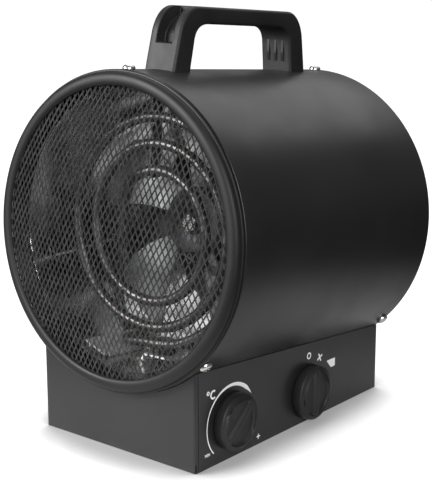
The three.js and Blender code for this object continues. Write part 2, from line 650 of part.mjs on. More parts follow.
// ---------- fan ----------
{
  const y0 = FAN_Y - FAN_HUB_LEN / 2;
  const y1 = FAN_Y + FAN_HUB_LEN / 2;
  const r = FAN_HUB_R;
  const hub = [[SHAFT_R + PRESS, y0 + 2], [8, y0 + 2], [8, y0], [r - 3, y0], [r, y0 + 3], [r, y1], [r - 1.6, y1]];
  hub.push([r - 1.6, y0 + 4], [9.5, y0 + 4], [9.5, y1 - 1], [SHAFT_R + PRESS, y1 - 1]);
  const parts = [turned(hub, 20)];
  const blade = new THREE.BoxGeometry(1, 1, 1, 4, 1, 3);
  const place = blade.attributes.position;
  for (let i = 0; i < place.count; i += 1) {
    const u = place.getX(i) + 0.5;
    const t = place.getZ(i);
    const radius = r - 1 + (FAN_TIP_R - r + 1) * u;
    const rounding = 1 - 0.22 * u ** 6;
    const arc = degrees(BLADE_ARC_DEG) * (0.75 + 0.25 * u) * rounding;
    const angle = t * arc + 0.18 * u * u;
    const rise = t * arc * 54 * Math.tan(degrees(BLADE_PITCH_DEG)) * (0.62 + 0.38 * (1 - u));
    const camber = 3.2 * (0.25 - t * t) * 4 * u;
    const x = radius * Math.cos(angle);
    const z = radius * Math.sin(angle);
    const y = FAN_Y - 1 - rise * 0.62 - camber + place.getY(i) * BLADE_SHEET;
    place.setXYZ(i, x, y, z);
  }
  const one = solidOf(blade);
  for (let i = 0; i < BLADES; i += 1) parts.push(one.rotate([0, (360 / BLADES) * i + 20, 0]));
  const bore = ringY(0, SHAFT_R + PRESS, y0 - 2, y1 + 2, 20);
  addDrumPiece("fan", union(parts).subtract(bore), "fan_metal");

  const nut = ringY(0, 6.4, y0 - GAP - NUT_LEN, y0 - GAP, 6);
  const nutBore = ringY(0, SHAFT_R + PRESS, y0 - GAP - NUT_LEN + NUT_CROWN, y0 + 1, 20);
  addDrumPiece("fan_nut", nut.subtract(nutBore), "zinc_screw");
}

// ---------- motor ----------
{
  const r = MOTOR_R;
  const f = MOTOR_FRONT;
  const b = MOTOR_FRONT + MOTOR_LEN;
  const w = MOTOR_WALL;
  const seat = BEARING_R + SLIDE / 2;
  const cup = [[seat, f], [r - 3, f], [r, f + 3], [r, b], [r - w, b], [r - w, f + 3]];
  cup.push([seat + w, f + w], [seat + w, f + 9], [seat, f + 9]);
  addDrumPiece("motor_housing", turned(cup, 24), "motor_metal");
  const cap = [[seat, b + GAP + CAP_SHEET], [r, b + GAP + CAP_SHEET], [r, b + GAP], [seat + w, b + GAP]];
  cap.push([seat + w, b - 6], [seat, b - 6]);
  addDrumPiece("motor_end_cap", turned(cap, 24), "motor_metal");
  addDrumPiece("front_bearing", ringY(SHAFT_R + SLIDE / 2, BEARING_R, f + FRONT_BEARING[0], f + FRONT_BEARING[1], 12), "bronze");
  addDrumPiece("rear_bearing", ringY(SHAFT_R + SLIDE / 2, BEARING_R, b + REAR_BEARING[0], b + REAR_BEARING[1], 12), "bronze");

  // Stator: a laminated ring with four poles; the winding is one moulded coil pack behind it.
  const core0 = f + CORE_FRONT;
  const core1 = core0 + CORE_LEN;
  const bore = CORE_BORE_R;
  let core = ringY(bore + CORE_YOKE, r - w - 3 * GAP, core0, core1, 16);
  for (let i = 0; i < 4; i += 1) {
    const pole = box(POLE_L, CORE_LEN, POLE_W, bore + POLE_L / 2 - 0.5, (core0 + core1) / 2, 0);
    core = core.add(pole.rotate([0, 90 * i + 45, 0]));
  }
  core = core.subtract(ringY(0, bore, core0 - 1, core1 + 1, 16));
  addDrumPiece("stator_core", core, "core_steel");
  addDrumPiece("stator_winding", ringY(bore + w, r - 2 * w, core1 + GAP, core1 + WINDING_LEN, 16), "copper");
  const rotor = ringY(SHAFT_R + PRESS, bore - 1, core0, core1, 16);
  addDrumPiece("rotor", rotor, "core_steel");
  const tip = FAN_Y - FAN_HUB_LEN / 2 - NUT_LEN + NUT_CROWN;
  const shaft = [[0, tip], [SHAFT_R - 0.6, tip], [SHAFT_R, tip + 0.6], [SHAFT_R, b + 1.4], [0, b + 1.4]];
  addDrumPiece("motor_shaft", turned(shaft, 20), "motor_metal");
}

// ---------- motor bracket ----------
{
  const y0 = DUCT_REAR + DUCT_SHEET + GAP;
  const outer = LINER_R - 1;
  const plateR = 26;
  const top = y0 + ARM_SHEET;
  const capRear = MOTOR_FRONT + MOTOR_LEN + GAP + CAP_SHEET;
  // a dished centre plate meets the motor, three ribbed arms reach the duct flange
  const low = capRear + GAP;
  const dish = [[9, low], [plateR, low], [plateR + 7, y0], [plateR + 7, top]];
  dish.push([plateR - 1, low + ARM_SHEET], [9, low + ARM_SHEET]);
  const disc = turned(dish, 24);
  const parts = [disc];
  const screwHoles = [];
  for (const angle of ARM_ANGLES) {
    const reach = outer - plateR - 3;
    const arm = box(reach, ARM_SHEET, ARM_W, plateR + 3 + reach / 2, y0 + ARM_SHEET / 2, 0);
    const ribs = [-1, 1].map((side) =>
      box(reach - 16, 5, 1.2, plateR + 6 + (reach - 16) / 2, y0 + 2.5, side * (ARM_W / 2 - 0.6)),
    );
    parts.push(union([arm, ...ribs]).rotate([0, -angle, 0]));
    const hole = ringY(0, SCREW_SHANK_R + HOLE, y0 - 4, y0 + 4, 8);
    screwHoles.push(hole.translate([ARM_SCREW_R, 0, 0]).rotate([0, -angle, 0]));
  }
  addDrumPiece("motor_bracket", cutAll(union(parts), screwHoles), "galvanised");
  ARM_ANGLES.forEach((angle, i) => {
    const screw = panScrew(DUCT_SHEET + ARM_SHEET + 3).rotate([-90, 0, 0]).translate([ARM_SCREW_R, top + GAP, 0]);
    addDrumPiece(`bracket_screw_${i + 1}`, screw.rotate([0, -angle, 0]), "zinc_screw");
  });
}

// ---------- handle ----------
{
  // Side view: x is along the drum from the middle of the handle, y is the height above the drum axis.
  const outline = new THREE.Shape();
  const foot = DRUM_R + GAP;
  outline.moveTo(-HANDLE_FOOT, foot);
  const legX = HANDLE_SHOULDER - HANDLE_LEG_X;
  const legH = HANDLE_SHOULDER_H - HANDLE_LEG_H;
  const cornerX = HANDLE_TOP_FLAT + HANDLE_CORNER_X;
  const cornerH = HANDLE_SHOULDER_H + HANDLE_CORNER_H;
  outline.lineTo(-HANDLE_SHOULDER, legH);
  outline.bezierCurveTo(-legX, cornerH, -cornerX, HANDLE_TOP_H, -HANDLE_TOP_FLAT, HANDLE_TOP_H);
  outline.lineTo(HANDLE_TOP_FLAT, HANDLE_TOP_H);
  outline.bezierCurveTo(cornerX, HANDLE_TOP_H, legX, cornerH, HANDLE_SHOULDER, legH);
  outline.lineTo(HANDLE_FOOT, foot);
  outline.lineTo(HANDLE_GAP_FOOT, foot);
  outline.lineTo(HANDLE_GAP_SIDE, HANDLE_GAP_SIDE_H);
  const innerX = HANDLE_GAP_SIDE - GAP_LEG_X;
  const innerH = HANDLE_UNDER_H - GAP_CORNER_H;
  const underX = HANDLE_GAP_FLAT + GAP_CORNER_X;
  outline.bezierCurveTo(innerX, innerH, underX, HANDLE_UNDER_H, HANDLE_GAP_FLAT, HANDLE_UNDER_H);
  outline.lineTo(-HANDLE_GAP_FLAT, HANDLE_UNDER_H);
  outline.bezierCurveTo(-underX, HANDLE_UNDER_H, -innerX, innerH, -HANDLE_GAP_SIDE, HANDLE_GAP_SIDE_H);
  outline.lineTo(-HANDLE_GAP_FOOT, foot);
  const e = HANDLE_ROUND;
  const body = solidOf(
    new THREE.ExtrudeGeometry(outline, {
      depth: 2 * (HANDLE_HALF_W - e),
      curveSegments: 6,
      bevelEnabled: true,
      bevelThickness: e,
      bevelSize: e,
      bevelOffset: -e,
      bevelSegments: 1,
    }),
  ).translate([0, 0, -(HANDLE_HALF_W - e)]);
  // A channel is sunk into each outer corner, from the leg up and over to the start of the grip.
  const channel = new THREE.Shape();
  channel.moveTo(-HANDLE_FOOT - 20, POCKET_FLOOR_H);
  channel.lineTo(-HANDLE_SHOULDER + POCKET_DEPTH - 1, POCKET_FLOOR_H);
  channel.bezierCurveTo(
    -HANDLE_SHOULDER + POCKET_DEPTH, HANDLE_SHOULDER_H + 1, -HANDLE_TOP_FLAT - 2, HANDLE_TOP_H - POCKET_DEPTH + 1,
    -POCKET_TOP_END, HANDLE_TOP_H - POCKET_DEPTH + 3,
  );
  channel.lineTo(-POCKET_TOP_END, HANDLE_TOP_H + 20);
  channel.lineTo(-HANDLE_FOOT - 20, HANDLE_TOP_H + 20);
  const pocket = plateOf(channel, POCKET_W, 6).translate([0, 0, -POCKET_W / 2]);
  // Three small ribs run up the finger side of each leg.
  const ribFoot = foot + RIB_FOOT_SHARE * (HANDLE_UNDER_H - foot);
  const ribTop = foot + RIB_TOP_SHARE * (HANDLE_UNDER_H - foot);
  const ribSide = [[0, ribFoot], [-RIB_PROUD, ribFoot + 2 * RIB_PROUD], [-0.4 * RIB_PROUD, ribTop]];
  ribSide.push([RIB_ROOT, ribTop], [RIB_ROOT, ribFoot]);
  const rib = plateOf(shapeOf(ribSide), RIB_W).translate([0, 0, -RIB_W / 2]);
  const ribs = [-1, 0, 1].map((i) => rib.translate([HANDLE_GAP_SIDE + 0.4, 0, i * RIB_PITCH]));
  let handle = body.subtract(pocket).subtract(pocket.mirror([1, 0, 0]));
  handle = union([handle, ...ribs, ...ribs.map((one) => one.mirror([1, 0, 0]))]);
  const pilot = solidOf(new THREE.CylinderGeometry(SCREW_SHANK_R + HOLE, SCREW_SHANK_R + HOLE, 24, 8));
  for (const side of [-1, 1]) handle = handle.subtract(pilot.translate([side * HANDLE_SCREW_AT, foot, 0]));
  // side view to drum frame: x stays the length, so swap to Y along the drum and Z up
  const placed = handle.rotate([90, 0, 0]).rotate([0, 0, 90]).translate([0, HANDLE_MID, 0]);
  addDrumPiece("handle", placed, "black_plastic");
  for (const [name, side] of [["front", -1], ["rear", 1]]) {
    const screw = panScrew(11).rotate([180, 0, 0]).translate([0, 0, LINER_R]);
    addDrumPiece(`handle_screw_${name}`, screw.translate([0, HANDLE_MID + side * HANDLE_SCREW_AT, 0]), "zinc_screw");
  }
}

// ---------- base housing ----------
// The drum as a cutting tool, in the part's frame.
const DRUM_PAST = 60; // how far the cutting drums go past the real one
const saddleCut = leanBack(ringY(0, DRUM_R + BASE_SADDLE_CLEAR, -DRUM_PAST, DRUM_REAR + DRUM_PAST, 64));
{
  const w = BASE_HALF_W;
  const s = BASE_SHEET;
  const y0 = BASE_FRONT;
  const y1 = BASE_REAR;
  const top = 76;
  const outer = plateOf(roundedRect(-w, y0, w, y1, BASE_BEND), top - BASE_WALL_FOOT, 3);
  const inner = plateOf(roundedRect(-w + s, y0 + s, w - s, y1 - s, BASE_BEND - s), top, 3);
  const walls = outer.subtract(inner).translate([0, 0, BASE_WALL_FOOT]);
  const flangeOuter = plateOf(roundedRect(-w + s / 2, y0 + s / 2, w - s / 2, y1 - s / 2, BASE_BEND - s / 2), s, 3);
  const f = FLANGE_W;
  const flangeInner = box(2 * (w - f), y1 - y0 - 2 * f, 4 * s, 0, (y0 + y1) / 2, 0);
  const flange = flangeOuter.subtract(flangeInner).translate([0, 0, FLANGE_Z]);
  let housing = walls.add(flange);
  for (const x of [-w, w]) {
    for (const y of [y0, y1]) {
      const slit = box(7, RELIEF_W, RELIEF_H + FLANGE_Z, 0, 0, (RELIEF_H - FLANGE_Z) / 2 + FLANGE_Z / 2);
      const turn = Math.sign(x) * Math.sign(y - (y0 + y1) / 2) > 0 ? 45 : -45;
      const at = slit.rotate([0, 0, turn]).translate([x - Math.sign(x) * 1.2, y - Math.sign(y) * 1.2, 0]);
      housing = housing.subtract(at);
    }
  }
  const controlHole = (y, z) => {
    const drill = solidOf(new THREE.CylinderGeometry(BUSH_R + HOLE, BUSH_R + HOLE, 12, 16)).rotate([0, 0, 90]);
    return drill.translate([w, y, z]);
  };
  const glandR = GLAND_NECK_R + HOLE;
  const glandHole = solidOf(new THREE.CylinderGeometry(glandR, glandR, 12, 14)).translate([GLAND_X, y1, GLAND_Z]);
  const tools = [saddleCut, controlHole(THERMOSTAT_Y, THERMOSTAT_Z), controlHole(SWITCH_Y, SWITCH_Z), glandHole];
  for (const x of [PLATE_SCREW_SIDE - w, w - PLATE_SCREW_SIDE]) {
    for (const y of [y0 + PLATE_SCREW_IN, y1 - PLATE_SCREW_IN]) {
      const hole = solidOf(new THREE.CylinderGeometry(SCREW_SHANK_R + HOLE, SCREW_SHANK_R + HOLE, 8, 8));
      tools.push(hole.rotate([90, 0, 0]).translate([x, y, FLANGE_Z]));
    }
  }
  addPiece("base_housing", cutAll(housing, tools), "black_paint");

  // ---- bottom plate, its screws and the feet ----
  const plateTop = FLANGE_Z - GAP;
  const c = s + PLATE_CLEAR;
  const shape = roundedRect(-w + c, y0 + c, w - c, y1 - c, 2);
  let plate = plateOf(shape, PLATE_SHEET, 4).translate([0, 0, plateTop - PLATE_SHEET]);
  for (let i = 0; i < VENTS; i += 1) {
    const y = (y0 + y1) / 2 + (i - (VENTS - 1) / 2) * VENT_PITCH;
    plate = plate.subtract(plateOf(roundedRect(-VENT_L / 2, y - 1.6, VENT_L / 2, y + 1.6, 1.5), 10, 1));
  }
  const [sx0, sx1] = SERVICE_X;
  const [sy0, sy1] = SERVICE_AHEAD.map((ahead) => y1 - ahead);
  plate = plate.subtract(plateOf(roundedRect(sx0, sy0, sx1, sy1, SERVICE_ROUND), 10, 3));
  const corners = [];
  for (const [side, x] of [["left", -1], ["right", 1]]) {
    for (const [end, y] of [["front", y0 + PLATE_SCREW_IN], ["rear", y1 - PLATE_SCREW_IN]]) {
      corners.push([`${end}_${side}`, x * (w - PLATE_SCREW_SIDE), y]);
    }
  }
  const screwTop = plateTop - PLATE_SHEET - GAP * 0.4;
  for (const [name, x, y] of corners) {
    const hole = solidOf(new THREE.CylinderGeometry(SCREW_SHANK_R + HOLE, SCREW_SHANK_R + HOLE, 8, 8));
    plate = plate.subtract(hole.rotate([90, 0, 0]).translate([x, y, plateTop]));
    const screw = panScrew(5).rotate([180, 0, 0]).translate([x, y, screwTop]);
    addPiece(`plate_screw_${name}`, screw, "zinc_screw");
  }
  const footTop = plateTop - PLATE_SHEET - GAP;
  for (const [side, sx] of [["left", -1], ["right", 1]]) {
    for (const [end, y] of [["front", y0 + FOOT_INSET - FOOT_OUT], ["rear", y1 - FOOT_INSET + FOOT_OUT]]) {
      const pad = turned([[0, 0], [FOOT_R, 0], [FOOT_R, footTop], [0, footTop]], 16);
      const foot = pad.rotate([90, 0, 0]).translate([sx * (w - FOOT_INSET), y, 0]);
      addPiece(`foot_${end}_${side}`, foot, "rubber");
    }
  }
  addPiece("base_plate", plate, "black_paint");
}

// ---------- drum cradles ----------
// A sheet across the base with its top cut round to the drum; a tab under the drum takes the screw.
for (const [where, y] of Object.entries(CRADLE_Y)) {
  const s = CRADLE_SHEET;
  const under = DRUM_R + GAP;
  const drill = ringY(0, SCREW_SHANK_R + HOLE, -8, 8, 8).rotate([90, 0, 0]).translate([0, y, -under]);
  const tab = box(CRADLE_TAB_W, CRADLE_TAB_L, s, 0, y, -under - s / 2).subtract(drill);
  const place = leanBack(tab);
  const tabBox = place.boundingBox();
  const at = tabBox.max[1] - s / 2;
  const inside = BASE_HALF_W - BASE_SHEET - GAP;
  const z0 = FLANGE_Z + BASE_SHEET + GAP;
  const web = box(2 * inside, s, CRADLE_WEB_TOP - z0, 0, at, (CRADLE_WEB_TOP + z0) / 2);
  const round = leanBack(ringY(0, under + s * 0.4, -DRUM_PAST, DRUM_REAR + DRUM_PAST, 56));
  const passage = box(2 * CRADLE_OPEN_HALF, 10, CRADLE_OPEN_H, 0, at, z0 + CRADLE_OPEN_H / 2);
  const feet = [-1, 1].map((side) => {
    const reach = inside - CRADLE_OPEN_HALF - CRADLE_FOOT_GAP;
    const footY = at - (CRADLE_FOOT_L - s) / 2;
    return box(reach, CRADLE_FOOT_L, s, side * (inside - reach / 2), footY, z0 + s / 2);
  });
  const cradle = union([web.subtract(round).subtract(passage), place, ...feet]);
  addPiece(`cradle_${where}`, cradle, "galvanised");
  const screw = panScrew(SCREW_LEN).translate([0, y, -LINER_R]);
  addDrumPiece(`cradle_screw_${where}`, screw, "zinc_screw");
}

// ---------- controls on the +X side ----------
// A knob on +Z: round skirt, a face with two sunk halves, and the bar left standing between them.
function knob() {
  const r = KNOB_R;
  const f = KNOB_FACE_R;
  const h = KNOB_H;
  const shell = [[0, 1.6], [r - 2, 1.6], [r - 2, 0], [r, 0], [r, 2.4], [f + 0.8, h - 2.4], [f - 0.3, h - 0.9], [f - 1.6, h]];
  shell.push([0, h]);
  let body = turned(shell, 24).rotate([90, 0, 0]);
  // each half is scooped towards the rim and is deepest beside the bar
  for (const side of [-1, 1]) {
    const scoop = new THREE.Shape();
    const start = Math.asin((GRIP_W / 2) / SCOOP_R);
    scoop.absarc(0, 0, SCOOP_R, -Math.PI / 2 + start, Math.PI / 2 - start, false);
    const tool = plateOf(scoop, 12, 6);
    const tilted = tool.translate([0, 0, -SCOOP_DEPTH]).rotate([0, -7, 0]).translate([0.4, 0, h]);
    body = body.subtract(side > 0 ? tilted : tilted.mirror([1, 0, 0]));
  }
  // a short raised mark at the pointer end of the bar
  const mark = box(1.2, 3.4, 0.5, 0, f - 4.4, h + 0.15);
  const bore = solidOf(new THREE.CylinderGeometry(CONTROL_SHAFT_R + PRESS, CONTROL_SHAFT_R + PRESS, 9, 12));
  return body.add(mark).subtract(bore.rotate([90, 0, 0]).translate([0, 0, 3.2]));
}
// from +Z out of the panel to +X out of the panel, with +Y of the drawing pointing up
const ontoPanel = (solid, y, z) => solid.rotate([90, 0, 0]).rotate([0, 0, 90]).translate([BASE_HALF_W, y, z]);

for (const control of ["thermostat", "switch"]) {
  const isThermostat = control === "thermostat";
  const y = isThermostat ? THERMOSTAT_Y : SWITCH_Y;
  const z = isThermostat ? THERMOSTAT_Z : SWITCH_Z;
  const turn = isThermostat ? POINTER_TURN_DEG : 0;
  const knobSolid = knob().rotate([0, 0, turn]).translate([0, 0, KNOB_STAND]);
  addPiece(`${control}_knob`, ontoPanel(knobSolid, y, z), "black_plastic");
  const s = BASE_SHEET;
  const shaftSolid = ringY(0, CONTROL_SHAFT_R, -s - 14, KNOB_STAND + 7.4, 12).rotate([90, 0, 0]);
  addPiece(`${control}_shaft`, ontoPanel(shaftSolid, y, z), "zinc_screw");
  // body behind the panel with its threaded bush through the hole
  const back = -s - GAP;
  const bw = isThermostat ? 30 : 26;
  const bh = isThermostat ? 24 : 28;
  const depth = isThermostat ? 20 : 24;
  const can = plateOf(roundedRect(-bw / 2, -bh / 2, bw / 2, bh / 2, 3), depth, 4).translate([0, 0, back - depth]);
  const bush = ringY(0, BUSH_R, -s - 1, 0.6, 14).rotate([90, 0, 0]);
  const shaftRoom = ringY(0, CONTROL_SHAFT_R + SLIDE / 2, -s - 14.6, 4, 14).rotate([90, 0, 0]);
  const lugs = [-8, 8].map((x) => box(6, 0.8, 8, x, 0, back - depth - 3.6));
  const bodySolid = union([can, bush, ...lugs]).subtract(shaftRoom);
  addPiece(`${control}_body`, ontoPanel(bodySolid, y, z), isThermostat ? "ceramic" : "dark_plastic");
}

// ---------- wiring inlet and terminal block ----------
{
  const wall = BASE_REAR;
  const s = BASE_SHEET;
  const [bore, neck, rim] = [GLAND_BORE_R, GLAND_NECK_R, GLAND_RIM_R];
  const profile = [[bore, 5], [neck, 5], [rim - 1, 3.6], [rim, 1], [rim, GAP], [neck, GAP], [neck, -s - GAP]];
  profile.push([neck + 1.2, -s - GAP], [neck, -s - 6], [bore, -s - 6]);
  addPiece("cable_gland", turned(profile, 12).translate([GLAND_X, wall, GLAND_Z]), "black_plastic");
  const baseTop = FLANGE_Z - GAP;
  const [x, r] = [BLOCK_X, BLOCK_WELL_R];
  let block = box(BLOCK_W, BLOCK_L, BLOCK_H, x, BLOCK_Y, baseTop + GAP + BLOCK_H / 2);
  for (let i = 0; i < BLOCK_POLES; i += 1) {
    const y = BLOCK_Y + (i - (BLOCK_POLES - 1) / 2) * BLOCK_PITCH;
    const well = solidOf(new THREE.CylinderGeometry(r, r, BLOCK_H / 2, 10)).rotate([90, 0, 0]);
    block = block.subtract(well.translate([x, y, baseTop + BLOCK_H]));
    block = block.subtract(box(1.5 * BLOCK_W, BLOCK_BORE, BLOCK_BORE, x, y, baseTop + 0.4 * BLOCK_H));
  }
  addPiece("terminal_block", block, "ceramic");
}

export default heater;
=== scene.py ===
"""Looks of the forced air heater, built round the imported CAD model.

Drum pieces are drawn in millimetres in the drum's own frame: x to the right, v back along the axis from the outlet
ring, w up. DrumFrame turns them into the part's frame in metres. Every piece's object sits at the origin.
"""

import json
import logging
import math
from collections.abc import Callable, Iterator, Sequence
from contextlib import contextmanager
from dataclasses import dataclass, replace
from enum import Enum

import bmesh
import bpy
from mathutils import Matrix, Vector


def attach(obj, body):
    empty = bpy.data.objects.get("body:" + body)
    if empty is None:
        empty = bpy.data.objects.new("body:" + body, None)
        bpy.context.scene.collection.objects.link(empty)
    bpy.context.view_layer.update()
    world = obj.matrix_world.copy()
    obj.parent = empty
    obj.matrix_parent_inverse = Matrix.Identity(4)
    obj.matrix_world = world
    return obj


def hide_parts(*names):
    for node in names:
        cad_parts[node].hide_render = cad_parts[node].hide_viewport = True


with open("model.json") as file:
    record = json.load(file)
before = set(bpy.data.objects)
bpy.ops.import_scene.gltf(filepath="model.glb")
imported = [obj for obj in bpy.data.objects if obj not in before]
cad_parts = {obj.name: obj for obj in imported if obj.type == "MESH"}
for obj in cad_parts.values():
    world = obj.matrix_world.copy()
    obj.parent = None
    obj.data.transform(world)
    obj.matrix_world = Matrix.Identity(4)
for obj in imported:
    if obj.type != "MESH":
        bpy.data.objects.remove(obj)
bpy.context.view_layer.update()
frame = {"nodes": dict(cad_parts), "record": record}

LOG = logging.getLogger("heater")
MM = 0.001
Pair = tuple[float, float]
Triple = tuple[float, float, float]
Colour = tuple[float, float, float]
Socket = bpy.types.NodeSocket


class Body(Enum):
    """The CAD bodies that a piece can ride on."""

    HEATER = "heater"
    FAN = "fan_rotor"
    THERMOSTAT = "thermostat_dial"
    SWITCH = "switch_dial"


class Slot(Enum):
    """The record's material slots."""

    PAINT = "black_paint"
    MESH = "mesh_paint"
    PLASTIC = "black_plastic"
    GALVANISED = "galvanised"
    ELEMENT = "element_steel"
    FAN = "fan_metal"
    MOTOR = "motor_metal"
    CORE = "core_steel"
    COPPER = "copper"
    BRONZE = "bronze"
    CERAMIC = "ceramic"
    RUBBER = "rubber"
    DARK_PLASTIC = "dark_plastic"
    SCREW = "zinc_screw"


# ---------------------------------------------------------------- frames
@dataclass(frozen=True)
class DrumFrame:
    """The leaning frame of the drum, in millimetres."""

    lean: float = math.radians(4.85)
    middle: float = 108.8
    axis_y: float = 3.0
    axis_z: float = 138.8

    def matrix(self) -> Matrix:
        """Returns the change from (x, v, w) in millimetres to the part's frame in metres."""
        c, s = math.cos(self.lean), math.sin(self.lean)
        rows = [
            (1, 0, 0, 0),
            (0, c, s, self.axis_y - self.middle * c),
            (0, -s, c, self.axis_z + self.middle * s),
            (0, 0, 0, 1 / MM),
        ]
        return Matrix([[value * MM for value in row] for row in rows])

    def wall_top(self, x: float, y: float, radius: float) -> float:
        """Returns how high over x, y the underside of a drum of that radius is, in millimetres."""
        w = -math.sqrt(max(radius * radius - x * x, 0.0))
        return self.axis_z + (w - (y - self.axis_y) * math.sin(self.lean)) / math.cos(self.lean)


DRUM = DrumFrame()
LEANING = DRUM.matrix()
STRAIGHT = Matrix.Scale(MM, 4)
UPRIGHT = Matrix.Rotation(math.radians(90), 4, "X")
PANEL_X = 68.15
SORT_ALONG = Vector((1.0, 0.6134, 0.3719))


def on_panel(x: float, y: float, z: float, turn_deg: float = 0.0) -> Matrix:
    """Returns the change from a drawing, its x to the rear, y up and z out of the panel, to the part's frame."""
    axes = Matrix(((0, 0, 1, x), (1, 0, 0, y), (0, 1, 0, z), (0, 0, 0, 1)))
    return STRAIGHT @ axes @ Matrix.Rotation(math.radians(turn_deg), 4, "Z")


# ---------------------------------------------------------------- shader nodes
class Nodes:
    """Adds and joins nodes in one node tree."""

    def __init__(self, tree: bpy.types.NodeTree) -> None:
        """Keeps the tree."""
        self.tree = tree

    def feed(self, node: bpy.types.Node, feeds: dict) -> None:
        """Gives inputs of a node, by name or index, a value or another node's socket."""
        for key, value in feeds.items():
            if isinstance(value, Socket):
                self.tree.links.new(value, node.inputs[key])
            else:
                node.inputs[key].default_value = value

    def add(self, kind: str, feeds: dict | None = None, **settings: object) -> bpy.types.Node:
        """Adds a node.

        Args:
            kind: The node's type name.
            feeds: What goes into its inputs.
            settings: Attributes of the node.

        Returns:
            The new node.
        """
        node = self.tree.nodes.new(kind)
        for key, value in settings.items():
            setattr(node, key, value)
        self.feed(node, feeds or {})
        return node

    def math(self, operation: str, a: object, b: object = 0.0) -> Socket:
        """Returns the result of a Math node on a and b."""
        return self.add("ShaderNodeMath", {0: a, 1: b}, operation=operation).outputs[0]

    def vector(self, operation: str, a: object, b: object = (0.0, 0.0, 0.0)) -> bpy.types.Node:
        """Returns a Vector Math node on a and b."""
        return self.add("ShaderNodeVectorMath", {0: a, 1: b}, operation=operation)

    def length(self, vector: Socket) -> Socket:
        """Returns the length of a vector."""
        return self.vector("LENGTH", vector).outputs["Value"]

    def noise(self, place: Socket, scale: object, detail: float) -> bpy.types.Node:
        """Returns a Noise Texture node."""
        return self.add("ShaderNodeTexNoise", {"Vector": place, "Scale": scale, "Detail": detail})

    def ramp(self, value: object, low: object, high: object, to_low: object = 0.0, to_high: object = 1.0) -> Socket:
        """Returns value mapped smoothly from low..high to to_low..to_high."""
        feeds = {"Value": value, "From Min": low, "From Max": high, "To Min": to_low, "To Max": to_high}
        return self.add("ShaderNodeMapRange", feeds, interpolation_type="SMOOTHSTEP").outputs["Result"]

    def mix(self, factor: object, a: object, b: object) -> Socket:
        """Returns the colour between a and b."""
        return self.add("ShaderNodeMix", {0: factor, 6: a, 7: b}, data_type="RGBA").outputs[2]


class Effects:
    """Shader node groups that several finishes share, each built once and drawn by a method of its name."""

    INPUTS = {
        "fine_grain": ("Vector", "Scale", "Height"),
        "cloudy_mottle": ("Vector", "Scale", "Low", "High"),
        "edge_wear": ("Vector", "Amount"),
        "settled_dust": ("Vector", "Amount"),
        "zinc_spangle": ("Vector", "Scale", "Low", "High"),
        "drawn_lines": ("Vector", "Stretch"),
    }

    def __init__(self) -> None:
        """Starts with no group built."""
        self._made: dict[str, bpy.types.NodeTree] = {}

    def tree(self, draw: Callable[..., Socket]) -> bpy.types.NodeTree:
        """Returns the group that one of this class's methods draws."""
        name = draw.__name__
        if name not in self._made:
            tree = self._made[name] = bpy.data.node_groups.new(name, "ShaderNodeTree")
            for socket in self.INPUTS[name]:
                kind = "Vector" if socket in ("Vector", "Stretch") else "Float"
                tree.interface.new_socket(socket, in_out="INPUT", socket_type=f"NodeSocket{kind}")
            tree.interface.new_socket("Value", in_out="OUTPUT", socket_type="NodeSocketFloat")
            n = Nodes(tree)
            enter, leave = n.add("NodeGroupInput"), n.add("NodeGroupOutput")
            n.feed(leave, {0: draw(n, *(enter.outputs[socket] for socket in self.INPUTS[name]))})
        return self._made[name]

    @staticmethod
    def fine_grain(n: Nodes, place: Socket, scale: Socket, height: Socket) -> Socket:
        """Draws the fine relief of paint or a mould."""
        return n.math("MULTIPLY", n.noise(place, scale, 2.0).outputs[0], height)

    @staticmethod
    def cloudy_mottle(n: Nodes, place: Socket, scale: Socket, low: Socket, high: Socket) -> Socket:
        """Draws slow cloudy change between two values."""
        return n.ramp(n.noise(place, scale, 4.0).outputs[0], 0.32, 0.68, low, high)

    @staticmethod
    def edge_wear(n: Nodes, place: Socket, amount: Socket) -> Socket:
        """Draws a mask of rubbed outer edges."""
        edge = n.ramp(n.add("ShaderNodeNewGeometry").outputs["Pointiness"], 0.51, 0.6)
        rubbed = n.math("MULTIPLY", edge, n.ramp(n.noise(place, 160.0, 5.0).outputs[0], 0.4, 0.62))
        return n.math("MULTIPLY", rubbed, amount)

    @staticmethod
    def settled_dust(n: Nodes, place: Socket, amount: Socket) -> Socket:
        """Draws a mask of fine dust on what faces up."""
        normal = n.add("ShaderNodeSeparateXYZ", {0: n.add("ShaderNodeNewGeometry").outputs["Normal"]})
        patches = n.ramp(n.noise(place, 45.0, 6.0).outputs[0], 0.3, 0.75)
        return n.math("MULTIPLY", n.math("MULTIPLY", n.ramp(normal.outputs["Z"], 0.35, 1.0), patches), amount)

    @staticmethod
    def zinc_spangle(n: Nodes, place: Socket, scale: Socket, low: Socket, high: Socket) -> Socket:
        """Draws the crystal flowers of a zinc coat, between two values."""
        shift = n.vector("MULTIPLY", n.noise(place, 240.0, 2.0).outputs["Color"], (0.003,) * 3)
        warped = n.vector("ADD", place, shift.outputs[0]).outputs[0]
        cells = n.add("ShaderNodeTexVoronoi", {"Vector": warped, "Scale": scale}).outputs["Color"]
        return n.ramp(n.add("ShaderNodeSeparateColor", {0: cells}).outputs[0], 0.0, 1.0, low, high)

    @staticmethod
    def drawn_lines(n: Nodes, place: Socket, stretch: Socket) -> Socket:
        """Draws the marks of drawing or turning."""
        return n.noise(n.vector("MULTIPLY", place, stretch).outputs[0], 1.0, 4.0).outputs[0]


EFFECTS = Effects()
DUST_COLOUR = (0.32, 0.31, 0.29, 1)
DUST_ROUGH = 0.8
ROUGH_SCALE = 1.7
TINT_SCALE = 3.1
TINT_MOST = 0.7


def new_material(name: str) -> tuple[bpy.types.Material, Nodes]:
    """Returns a new material and its nodes."""
    made = bpy.data.materials.new(name)
    made.use_nodes = True
    return made, Nodes(made.node_tree)


